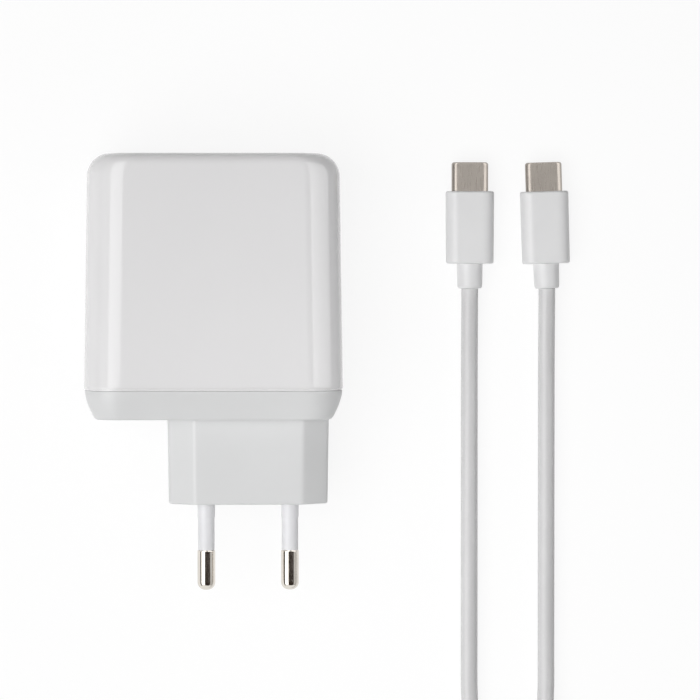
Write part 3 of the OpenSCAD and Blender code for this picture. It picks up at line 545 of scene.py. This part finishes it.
def grip_ring(y, inset, taper=0.0):
    half_w, half_t = GRIP_W / 2 - inset - taper, GRIP_T / 2 - inset
    return ring_at(y, rounded_outline(half_w, half_t, GRIP_CORNER - inset, steps=12))


grip_back = -PLUG_OUT - GRIP_LEN
grip_rings = [grip_ring(grip_back, 1.2)]
grip_rings += [grip_ring(grip_back + d, turn_in(d, GRIP_EDGE), GRIP_TAPER) for d in EDGE_DEPTHS]
grip_rings += [grip_ring(grip_back + d, 0, GRIP_TAPER * (1 - d / 15)) for d in (0.7, 5, 10, 15)]
grip_rings += [grip_ring(-PLUG_OUT - d, turn_in(d, GRIP_EDGE)) for d in (0.7, *EDGE_DEPTHS[::-1])]
grip_rings += [grip_ring(-PLUG_OUT, 0.8)]
half_t = METAL_T / 2 + 0.05
recess = rounded_outline(METAL_W / 2 + 0.05, half_t, half_t, steps=12)
grip_rings += [ring_at(y, recess) for y in (-PLUG_OUT, -PLUG_OUT - PLUG_IN)]
collar_end = grip_back - COLLAR_LEN
bore_end, shoulder_at = (RELIEF_BORE_R, collar_end), (RELIEF_END_R + 0.02, collar_end + 0.8)
collar_profile = [(RELIEF_BORE_R, grip_back), (RELIEF_R, grip_back), shoulder_at]
collar_profile += soft_corner(shoulder_at, (RELIEF_END_R, collar_end), bore_end, 0.65)
collar_profile += [bore_end]
plug_pieces = list(metal_ends)
for letter, place in plug_places.items():
    grip = make_piece("finger_grip_" + letter, [loft(grip_rings)], place)
    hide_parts(f"plug_{letter}_overmould")
    collar = make_piece("strain_relief_" + letter, [turned(collar_profile, 0, 0)], place)
    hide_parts(f"plug_{letter}_boot")
    for piece in (grip, collar):
        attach(piece, "cable")
        plug_pieces.append(piece)

# %% [markdown]
# ## Contacts
#
# Twelve flat contacts lie half a millimetre apart on each side of a connector. That is a rule, so
# Geometry Nodes lay them: a line of points, a small box on each, and a second row turned over. The
# same tree serves the two plugs and the adapter's port, with other numbers in its inputs.

# %% The contact-row tree and its inputs
CONTACT_SIZE, ROW_HEIGHT = (0.00026, 0.0046, 0.0001), 0.0004
contact_tree = bpy.data.node_groups.new("contact_rows", "GeometryNodeTree")
face = contact_tree.interface
face.new_socket("Geometry", in_out="OUTPUT", socket_type="NodeSocketGeometry")
for label, kind, start in (("Contacts", "NodeSocketInt", 12),
                           ("Pitch", "NodeSocketFloat", 0.0005),
                           ("Contact Size", "NodeSocketVector", CONTACT_SIZE),
                           ("Row Height", "NodeSocketFloat", ROW_HEIGHT),
                           ("Middle", "NodeSocketVector", (0, 0, 0)),
                           ("Turn", "NodeSocketVector", (0, 0, 0)),
                           ("Finish", "NodeSocketMaterial", None)):
    socket = face.new_socket(label, in_out="INPUT", socket_type=kind)
    if start is not None:
        socket.default_value = start
print(len(contact_tree.interface.items_tree), "sockets")

# %% One row: a line of points, centred, with a box on each
add = contact_tree.nodes.new
link = contact_tree.links.new
group_in, group_out = add("NodeGroupInput"), add("NodeGroupOutput")
line = add("GeometryNodeMeshLine")
step_way, start_way = add("ShaderNodeCombineXYZ"), add("ShaderNodeCombineXYZ")
half_count = add("ShaderNodeMath")
half_count.operation = "MULTIPLY_ADD"
half_count.inputs[1].default_value = -0.5
half_count.inputs[2].default_value = 0.5
first_x = add("ShaderNodeMath")
first_x.operation = "MULTIPLY"
link(group_in.outputs["Contacts"], half_count.inputs[0])
link(half_count.outputs[0], first_x.inputs[0])
link(group_in.outputs["Pitch"], first_x.inputs[1])
link(first_x.outputs[0], start_way.inputs["X"])
link(group_in.outputs["Row Height"], start_way.inputs["Z"])
link(group_in.outputs["Pitch"], step_way.inputs["X"])
link(group_in.outputs["Contacts"], line.inputs["Count"])
link(start_way.outputs[0], line.inputs["Start Location"])
link(step_way.outputs[0], line.inputs["Offset"])
contact_box, on_points = add("GeometryNodeMeshCube"), add("GeometryNodeInstanceOnPoints")
link(group_in.outputs["Contact Size"], contact_box.inputs["Size"])
link(line.outputs["Mesh"], on_points.inputs["Points"])
link(contact_box.outputs["Mesh"], on_points.inputs["Instance"])
print(len(contact_tree.nodes), "nodes for one row")

# %% The second row, and both laid in place
other_row, lay = add("GeometryNodeTransform"), add("GeometryNodeTransform")
both = add("GeometryNodeJoinGeometry")
other_row.inputs["Rotation"].default_value = (0, math.pi, 0)
link(on_points.outputs[0], other_row.inputs[0])
link(on_points.outputs[0], both.inputs[0])
link(other_row.outputs[0], both.inputs[0])
link(both.outputs[0], lay.inputs[0])
link(group_in.outputs["Middle"], lay.inputs["Translation"])
link(group_in.outputs["Turn"], lay.inputs["Rotation"])
real, painted = add("GeometryNodeRealizeInstances"), add("GeometryNodeSetMaterial")
link(lay.outputs[0], real.inputs[0])
link(real.outputs[0], painted.inputs[0])
link(group_in.outputs["Finish"], painted.inputs["Material"])
link(painted.outputs[0], group_out.inputs[0])
print(len(contact_tree.nodes), "nodes in the contact tree")

# %% Lay the contacts
CONTACTS_Y = -3.6                           # middle of the rows, from the plug's tip
gold = bpy.data.materials.new("gold_contact")


def contact_rows(name, **inputs):
    """Bakes the tree with these inputs into a plain mesh object."""
    source = bpy.data.objects.new(name + "_source", bpy.data.meshes.new(name + "_source"))
    bpy.context.collection.objects.link(source)
    rows = source.modifiers.new("rows", "NODES")
    rows.node_group = contact_tree
    for item in contact_tree.interface.items_tree:
        if item.in_out == "INPUT" and item.name.replace(" ", "_") in inputs:
            rows[item.identifier] = inputs[item.name.replace(" ", "_")]
    evaluated = source.evaluated_get(bpy.context.evaluated_depsgraph_get())
    mesh = bpy.data.meshes.new_from_object(evaluated)
    bpy.data.objects.remove(source)
    mesh.name = name
    piece = bpy.data.objects.new(name, mesh)
    bpy.context.collection.objects.link(piece)
    print(name, len(mesh.polygons) // 6, "contacts")
    return piece


for letter, place in plug_places.items():
    middle = place @ Vector((0, CONTACTS_Y, 0)) * MM
    turn = (0.0, 0.0, place.to_euler().z)
    rows = contact_rows("plug_contacts_" + letter, Contacts=12, Contact_Size=CONTACT_SIZE,
                        Row_Height=ROW_HEIGHT, Middle=tuple(middle), Turn=turn, Finish=gold)
    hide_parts(f"plug_{letter}_contacts")
    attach(rows, "cable")
    plug_pieces.append(rows)
port_low, port_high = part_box("receptacle_contacts")
port_size = (CONTACT_SIZE[0], port_high[1] - port_low[1], 0.00008)
port_middle = (0.0, (port_low[1] + port_high[1]) / 2, MID_Z * MM)
rows = contact_rows("port_contacts", Contacts=12, Contact_Size=port_size, Row_Height=0.00039,
                    Middle=port_middle, Finish=gold)
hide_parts("receptacle_contacts")
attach(rows, "adapter")

# %% [markdown]
# ## The tie
#
# A strap of woven hook-and-loop tape holds the coil on its far side. It is a flat band bent round
# the bundle, so its path is a round-cornered rectangle seen from the side, and its free end is
# laid back over itself on top.

# %% The strap's path
tie_low, tie_high = (Vector(p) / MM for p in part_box("cable_tie"))
STRAP_W, STRAP_T, STRAP_EDGE, STRAP_BEND = tie_high.x - tie_low.x, 0.4, 0.25, 2.0
LAP = STRAP_T * 1.02                        # how far the free end lies above the strap
strap_x = (tie_low.x + tie_high.x) / 2


def band(path, closed):
    """A flat strap with soft edges along (y, z) points, each with the way out of the bundle."""
    half = STRAP_W / 2
    edge = [(-half, 0.35), (-half, 0.65), (-half + STRAP_EDGE, 1), (half - STRAP_EDGE, 1),
            (half, 0.65), (half, 0.35), (half - STRAP_EDGE, 0), (-half + STRAP_EDGE, 0)]
    edge = [(strap_x + x, STRAP_T * (1 - s)) for x, s in edge]
    rings = [[(x, y - ny * deep, z - nz * deep) for x, deep in edge] for (y, z), (ny, nz) in path]
    return loft(rings, closed=closed)


half_y, half_z = (tie_high.y - tie_low.y) / 2, (tie_high.z - tie_low.z) / 2
strap_middle = ((tie_high.y + tie_low.y) / 2, (tie_high.z + tie_low.z) / 2)
wrap = rounded_outline(half_y, half_z, STRAP_BEND, steps=8)


def outward(points):
    """Each point of a closed outline with its normal."""
    path = []
    for i, (y, z) in enumerate(points):
        a, b = Vector(points[i - 1]), Vector(points[(i + 1) % len(points)])
        way = (b - a).normalized()
        path.append(((y + strap_middle[0], z + strap_middle[1]), (way.y, -way.x)))
    return path


around = outward(wrap)
lap = [((y + ny * LAP, z + nz * LAP), (ny, nz)) for (y, z), (ny, nz) in around[5:17]]
tie = make_piece("coil_tie", [band(around, True), band(lap, False)], sharp=50)
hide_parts("cable_tie")
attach(tie, "cable")

# %% Hand the cable over to the model
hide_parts("cable_lead_a", "cable_coil", "cable_lead_b")
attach(cable, "cable")
print("cable declared,", len(plug_pieces) + 5, "pieces on it")

# %% [markdown]
# ## Finishes: moulded plastic
#
# White plastic is never one flat white. A gloss moulding shows faint waves from its steel mould, a
# satin one has the fine pits of an etched mould, and both carry clouds of slightly deeper tone.
# All of these are noises at their own size, read from the piece's own coordinates in metres.

# %% Helper: a material with nothing but its shader
def empty_tree(thing):
    """Turns on the nodes of a material or a world, and clears them."""
    thing.use_nodes = True
    thing.node_tree.nodes.clear()
    return thing.node_tree


def new_finish(name):
    """A material by name, its tree, and its one shader."""
    finish = bpy.data.materials.get(name) or bpy.data.materials.new(name)
    tree = empty_tree(finish)
    shader = tree.nodes.new("ShaderNodeBsdfPrincipled")
    tree.links.new(shader.outputs[0], tree.nodes.new("ShaderNodeOutputMaterial").inputs[0])
    return finish, tree, shader


# %% Helper: a noise at a real size
def noise_of(tree, size_mm, detail=2.0, stretch=(1, 1, 1)):
    """Noise whose features are about size_mm across, drawn out along an axis by stretch."""
    where, scaled, noise = (tree.nodes.new(kind) for kind in
                            ("ShaderNodeTexCoord", "ShaderNodeMapping", "ShaderNodeTexNoise"))
    scaled.inputs["Scale"].default_value = [1 / s for s in stretch]
    noise.inputs["Scale"].default_value = 1000 / size_mm
    noise.inputs["Detail"].default_value = detail
    tree.links.new(where.outputs["Object"], scaled.inputs[0])
    tree.links.new(scaled.outputs[0], noise.inputs["Vector"])
    return noise.outputs[0]


def spread(tree, source, low, high):
    """Turns a noise into numbers from low to high."""
    fit = tree.nodes.new("ShaderNodeMapRange")
    fit.inputs["From Min"].default_value, fit.inputs["From Max"].default_value = 0.3, 0.7
    fit.inputs["To Min"].default_value, fit.inputs["To Max"].default_value = low, high
    tree.links.new(source, fit.inputs["Value"])
    return fit.outputs[0]


def two_tones(tree, source, first, second):
    """Mixes two colours by a noise."""
    mix = tree.nodes.new("ShaderNodeMix")
    mix.data_type = "RGBA"
    mix.inputs["A"].default_value, mix.inputs["B"].default_value = (*first, 1), (*second, 1)
    tree.links.new(spread(tree, source, 0, 1), mix.inputs["Factor"])
    return mix.outputs["Result"]


def relief(tree, shader, heights):
    """Stacks bumps, each a (noise, depth in millimetres), onto the shader's normal."""
    normal = None
    for source, depth in heights:
        bump = tree.nodes.new("ShaderNodeBump")
        bump.inputs["Distance"].default_value = depth * MM
        tree.links.new(source, bump.inputs["Height"])
        if normal is not None:
            tree.links.new(normal, bump.inputs["Normal"])
        normal = bump.outputs[0]
    tree.links.new(normal, shader.inputs["Normal"])


# %% Helper: moulded plastic
WAVE_MM = 9


def moulded(name, colour, roughness, grain_mm, grain_depth, cloud, cloud_mm,
            wave_depth=0.0, coat=0.0):
    """A plastic with clouds of deeper tone, an even grain, and for gloss a faint wave."""
    finish, tree, shader = new_finish(name)
    deeper = [c * (1 - cloud) for c in colour]
    clouds = two_tones(tree, noise_of(tree, cloud_mm), colour, deeper)
    tree.links.new(clouds, shader.inputs["Base Color"])
    grain = noise_of(tree, grain_mm, detail=3)
    gloss = spread(tree, grain, roughness * 0.9, roughness * 1.1)
    tree.links.new(gloss, shader.inputs["Roughness"])
    heights = [(grain, grain_depth)]
    if wave_depth:
        heights.append((noise_of(tree, WAVE_MM, detail=1), wave_depth))
    relief(tree, shader, heights)
    shader.inputs["IOR"].default_value = 1.5
    shader.inputs["Coat Weight"].default_value = coat
    shader.inputs["Coat Roughness"].default_value = 0.04
    return finish


# %% The plastics
PLASTICS = {
    # colour, roughness, grain and its depth in mm, strength and size in mm of the clouds;
    # for gloss also the depth of the wave in mm and the weight of the clear coat
    "shell_gloss": ((0.88, 0.872, 0.878), 0.11, 0.4, 0.0002, 0.012, 20, 0.0012, 0.45),
    "cap_satin": ((0.775, 0.78, 0.782), 0.38, 0.16, 0.002, 0.015, 12),
    "pin_sleeve": ((0.86, 0.86, 0.88), 0.3, 0.3, 0.0006, 0.02, 3),
    "overmould": ((0.88, 0.88, 0.884), 0.4, 0.14, 0.0018, 0.02, 5),
    "cord_white": ((0.74, 0.736, 0.74), 0.26, 0.22, 0.0015, 0.03, 6),
    "plug_insert": ((0.06, 0.06, 0.065), 0.4, 0.15, 0.001, 0.1, 2),
    "tongue_black": ((0.05, 0.05, 0.055), 0.35, 0.15, 0.001, 0.1, 2),
    "bobbin_black": ((0.04, 0.04, 0.045), 0.4, 0.2, 0.001, 0.1, 3),
    "chip_black": ((0.035, 0.035, 0.04), 0.5, 0.08, 0.002, 0.1, 2),
    "rectifier": ((0.045, 0.045, 0.045), 0.5, 0.1, 0.002, 0.1, 3),
    "ferrite": ((0.09, 0.09, 0.095), 0.6, 0.1, 0.004, 0.2, 1.5),
    "thermal_pad": ((0.28, 0.34, 0.40), 0.8, 0.3, 0.01, 0.15, 2),
    "film": ((0.80, 0.77, 0.66), 0.25, 0.5, 0.0005, 0.04, 8),
    "winding_tape": ((0.80, 0.56, 0.06), 0.3, 0.4, 0.002, 0.1, 3),
    "film_cap": ((0.66, 0.56, 0.22), 0.4, 0.2, 0.001, 0.06, 4),
    "fuse_tan": ((0.50, 0.36, 0.20), 0.55, 0.15, 0.003, 0.1, 2),
    "disc_blue": ((0.03, 0.14, 0.42), 0.15, 1.5, 0.01, 0.08, 2),
    "can_sleeve": ((0.03, 0.04, 0.12), 0.22, 0.8, 0.002, 0.08, 5),
    "choke_green": ((0.03, 0.16, 0.06), 0.35, 0.4, 0.006, 0.1, 2),
}
finishes = {name: moulded(name, *values) for name, values in PLASTICS.items()}
print(len(finishes), "plastic finishes")

# %% [markdown]
# ## Finishes: bare metal
#
# The pins are plated and polished, so they mirror the lights as long bands. The plug shells are
# drawn and then tumbled, which leaves a satin skin with fine lines along the drawing. Stretching
# a noise along one axis gives those lines.

# %% The metals
CLOUD_MM = 2.5


def bare_metal(name, colour, roughness, line_mm, line_depth, stretch=(1, 30, 1)):
    """A metal with fine lines drawn out along an axis."""
    finish, tree, shader = new_finish(name)
    shader.inputs["Metallic"].default_value = 1.0
    lines = noise_of(tree, line_mm, detail=3, stretch=stretch)
    darker = [c * 0.93 for c in colour]
    clouds = two_tones(tree, noise_of(tree, CLOUD_MM), colour, darker)
    tree.links.new(clouds, shader.inputs["Base Color"])
    gloss = spread(tree, lines, roughness * 0.8, roughness * 1.25)
    tree.links.new(gloss, shader.inputs["Roughness"])
    relief(tree, shader, [(lines, line_depth)])
    return finish


METALS = {
    # colour, roughness, width and depth of the lines in mm, and their stretch along each axis
    "pin_nickel": ((0.78, 0.74, 0.68), 0.10, 0.25, 0.0002, (4, 1, 4)),
    "plug_steel": ((0.39, 0.355, 0.32), 0.30, 0.12, 0.0006),
    "port_steel": ((0.62, 0.60, 0.57), 0.28, 0.12, 0.0006),
    "gold_contact": ((0.88, 0.64, 0.28), 0.2, 0.1, 0.0003),
    "strip_brass": ((0.78, 0.58, 0.27), 0.3, 0.15, 0.001),
    "spreader": ((0.80, 0.80, 0.81), 0.35, 0.2, 0.001),
    "can_aluminium": ((0.78, 0.78, 0.80), 0.25, 0.3, 0.001, (1, 1, 20)),
    "copper": ((0.72, 0.36, 0.16), 0.28, 0.3, 0.004, (1, 8, 1)),
}
finishes.update({name: bare_metal(name, *values) for name, values in METALS.items()})
print(len(finishes), "finishes so far")

# %% [markdown]
# ## Finishes: circuit board and woven strap
#
# Green solder mask is a clear lacquer over copper: where a track runs below, it looks paler. A
# Voronoi pattern of square cells gives such islands. The strap is woven, so two waves cross it at
# right angles, and a fine noise breaks them up into fibres.

# %% The board
PALE, DEEP = (0.02, 0.16, 0.06), (0.012, 0.09, 0.03)
board_green, tree, shader = new_finish("board_green")
where, cells = tree.nodes.new("ShaderNodeTexCoord"), tree.nodes.new("ShaderNodeTexVoronoi")
cells.distance = "CHEBYCHEV"
cells.inputs["Scale"].default_value = 260
tree.links.new(where.outputs["Object"], cells.inputs["Vector"])
tracks = spread(tree, cells.outputs["Distance"], 0, 1)
tree.links.new(two_tones(tree, tracks, DEEP, PALE), shader.inputs["Base Color"])
shader.inputs["Roughness"].default_value = 0.3
relief(tree, shader, [(tracks, 0.02)])
finishes["board_green"] = board_green
print("board has", len(tree.nodes), "nodes")

# %% The strap
DARK_THREAD, PALE_THREAD = (0.30, 0.30, 0.32), (0.46, 0.46, 0.48)
tie_grey, tree, shader = new_finish("tie_grey")
where = tree.nodes.new("ShaderNodeTexCoord")
threads = []
for direction in ("X", "DIAGONAL"):
    wave = tree.nodes.new("ShaderNodeTexWave")
    wave.bands_direction = direction
    wave.inputs["Scale"].default_value = 450
    wave.inputs["Distortion"].default_value = 1.5
    tree.links.new(where.outputs["Object"], wave.inputs["Vector"])
    threads.append(wave.outputs["Fac"])
fibre = noise_of(tree, 0.12, detail=4)
tree.links.new(two_tones(tree, fibre, DARK_THREAD, PALE_THREAD), shader.inputs["Base Color"])
shader.inputs["Roughness"].default_value = 0.9
shader.inputs["Sheen Weight"].default_value = 0.4
relief(tree, shader, [(threads[0], 0.05), (threads[1], 0.05), (fibre, 0.06)])
finishes["tie_grey"] = tie_grey
missing = {m["slot"] for m in frame["record"]["materials"]} - set(finishes)
print("finishes without a recipe:", sorted(missing))

# %% [markdown]
# ## Give every piece its finish
#
# The measured model names a finish for each of its pieces. The new skins take the finish of what
# they stand for, and the pieces that stay as measured, most of them sealed inside, get theirs too.

# %% Paint
slots = {part["node"]: part["material_slot"] for part in frame["record"]["subparts"]}
for name, node in frame["nodes"].items():
    node.data.materials.clear()
    node.data.materials.append(finishes[slots[name]])
skin_slots = {"housing": "shell_gloss", "cap_with_plug_block": "cap_satin",
              "cable": "cord_white", "coil_tie": "tie_grey"}
for side in PIN_XS:
    skin_slots["mains_pin_" + side] = "pin_nickel"
    skin_slots["insulating_sleeve_" + side] = "pin_sleeve"
for letter in plug_places:
    skin_slots["plug_metal_" + letter] = "plug_steel"
    skin_slots["finger_grip_" + letter] = skin_slots["strain_relief_" + letter] = "overmould"
for name, slot in skin_slots.items():
    bpy.data.objects[name].data.materials.append(finishes[slot])
print(len(slots), "measured pieces and", len(skin_slots), "skins painted")

# %% [markdown]
# ## Table
#
# The table is white, and so is the air above it where the camera looks past its edge. Seen directly
# it is part light and part paint, so that it stays close to pure white and still takes a shadow.

# %% Helper: what the camera sees, straight or mirrored
def seen_by_camera(tree):
    """1 for rays that come from the camera or from a glossy surface, and 0 for the rest."""
    rays, seen = tree.nodes.new("ShaderNodeLightPath"), tree.nodes.new("ShaderNodeMath")
    seen.operation = "MAXIMUM"
    tree.links.new(rays.outputs["Is Camera Ray"], seen.inputs[0])
    tree.links.new(rays.outputs["Is Glossy Ray"], seen.inputs[1])
    return seen.outputs[0]


def blend_to_output(tree, share, first, second, out):
    """Mixes two shaders by a share and sends them to the output."""
    blend = tree.nodes.new("ShaderNodeMixShader")
    for source, target in ((share, blend.inputs["Fac"]), (first.outputs[0], blend.inputs[1]),
                           (second.outputs[0], blend.inputs[2]), (blend.outputs[0], out.inputs[0])):
        tree.links.new(source, target)


# %% Table
TABLE, TABLE_Z = 3.0, -0.0002
GLOW_SHARE = 0.82                           # how much of the white is light rather than paint
table_mesh = bpy.data.meshes.new("table")
corners = [(x * TABLE, y * TABLE, TABLE_Z) for x, y in ((-1, -1), (1, -1), (1, 1), (-1, 1))]
table_mesh.from_pydata(corners, [], [(0, 1, 2, 3)])
table = bpy.data.objects.new("table", table_mesh)
bpy.context.collection.objects.link(table)
paper = bpy.data.materials.new("paper")
tree = empty_tree(paper)
matt, glow = tree.nodes.new("ShaderNodeBsdfDiffuse"), tree.nodes.new("ShaderNodeEmission")
matt.inputs["Color"].default_value = (0.9, 0.9, 0.9, 1)
glow.inputs["Strength"].default_value = 1.05
share = tree.nodes.new("ShaderNodeMath")
share.operation = "MULTIPLY"
share.inputs[1].default_value = GLOW_SHARE
tree.links.new(seen_by_camera(tree), share.inputs[0])
blend_to_output(tree, share.outputs[0], matt, glow, tree.nodes.new("ShaderNodeOutputMaterial"))
table_mesh.materials.append(paper)
print("table", 2 * TABLE, "m wide")

# %% World
world = bpy.data.worlds.new("studio")
bpy.context.scene.world = world
tree = empty_tree(world)
dim, white = (tree.nodes.new("ShaderNodeBackground") for _ in range(2))
for shade, strength in ((dim, 0.22), (white, 1.0)):
    shade.inputs["Color"].default_value = (1, 1, 1, 1)
    shade.inputs["Strength"].default_value = strength
blend_to_output(tree, seen_by_camera(tree), dim, white, tree.nodes.new("ShaderNodeOutputWorld"))
print("world has", len(tree.nodes), "nodes")

# %% [markdown]
# ## Lights
#
# The camera sees two things from a lamp: how it shades a matt surface, and its mirror image in a
# glossy one. Here they are set apart. One broad soft box at the upper left and three weak lamps do
# all the shading. Four others are only there to be mirrored, two by the box and two by the pins.
# Dark cards between those leave dark bands in the pins, and such contrast makes metal look like
# metal. Two grey cards stand where a plain white sky would wash out the plugs and the left sides.

# %% Helper: a soft box
def soft_box(name, role, angle, spread_angle, along_y, radiance, distance=1.0, length=1.1):
    """A lamp at an angle from straight up, towards +X, and as wide as spread_angle seen from there.

    A shade lamp lights matt surfaces alone, and a mirror lamp only shows in glossy ones.
    """
    lamp = bpy.data.lights.new(name, "AREA")
    lamp.shape = "RECTANGLE"
    lamp.size = 2 * distance * math.tan(math.radians(spread_angle / 2))
    lamp.size_y = length
    lamp.energy = radiance * math.pi * lamp.size * lamp.size_y
    box = bpy.data.objects.new(name, lamp)
    bpy.context.collection.objects.link(box)
    turn = math.radians(angle)
    away = Vector((math.sin(turn), 0, math.cos(turn)))
    axes = Matrix((Vector((0, 1, 0)).cross(away), Vector((0, 1, 0)), away)).transposed().to_4x4()
    box.matrix_world = Matrix.Translation(away * distance + Vector((0, along_y, 0))) @ axes
    box.visible_camera = False
    box.visible_diffuse = role == "shade"
    box.visible_glossy = role == "mirror"
    print(name, round(lamp.energy, 2), "W")


# %% Soft boxes
IMAGE_OF_BOX, IMAGE_OF_PINS = 0.71, 0.69     # lengths along Y
soft_box("main_soft_box", "shade", -26, 48, -0.28, 2.25)
soft_box("left_soft_box", "shade", -66, 44, -0.15, 0.45)
soft_box("lamp_near_pins", "shade", 25, 25, -0.05, 1.5, distance=0.13, length=0.06)
soft_box("lamp_near_plugs", "shade", 35, 28, 0.02, 0.65, distance=0.15, length=0.06)
soft_box("image_left_of_box", "mirror", -22, 36, 0.3, 1.85, length=IMAGE_OF_BOX)
soft_box("image_right_of_box", "mirror", 50, 60, 0.3, 1.5, length=IMAGE_OF_BOX)
soft_box("image_left_of_pins", "mirror", -43, 42, -0.4, 1.4, length=IMAGE_OF_PINS)
soft_box("image_right_of_pins", "mirror", 67, 36, -0.4, 0.55, length=IMAGE_OF_PINS)

# %% Cards for the mirror images
def card(name, start, end, ys, colour, distance=0.95):
    """A card of one even tone between two angles from straight up, seen only in mirror images."""
    tone = bpy.data.materials.new(name)
    tree = empty_tree(tone)
    even, out = tree.nodes.new("ShaderNodeEmission"), tree.nodes.new("ShaderNodeOutputMaterial")
    even.inputs["Color"].default_value = (*colour, 1)
    tree.links.new(even.outputs[0], out.inputs[0])
    corners = []
    for angle, y in ((start, ys[0]), (end, ys[0]), (end, ys[1]), (start, ys[1])):
        turn = math.radians(angle)
        corners.append((math.sin(turn) * distance, y, math.cos(turn) * distance))
    mesh = bpy.data.meshes.new(name)
    mesh.from_pydata(corners, [], [(0, 1, 2, 3)])
    mesh.materials.append(tone)
    sheet = bpy.data.objects.new(name, mesh)
    bpy.context.collection.objects.link(sheet)
    sheet.visible_camera = sheet.visible_diffuse = sheet.visible_shadow = False
    print(name, "from", start, "to", end, "degrees")


DARK, GREY = (0.045, 0.035, 0.03), (0.65, 0.65, 0.65)
OVER_PINS, OVER_BOX = (-0.9, -0.055), (-0.055, 0.9)
card("dark_card_above_pins", -20, 49, OVER_PINS, DARK)
card("dark_card_right", 49, 89, OVER_PINS, DARK, distance=1.15)
card("dark_card_left", -84, -65, OVER_PINS, DARK)
card("grey_card_left", -84, -67, OVER_BOX, GREY)
card("grey_card_above_plugs", 6, 20, OVER_BOX, GREY)

# %% [markdown]
# ## View settings
#
# The standard view shows white as white, where a filmic one would grey it.

# %% View settings
bpy.context.scene.view_settings.view_transform = "Standard"
bpy.context.view_layer.update()
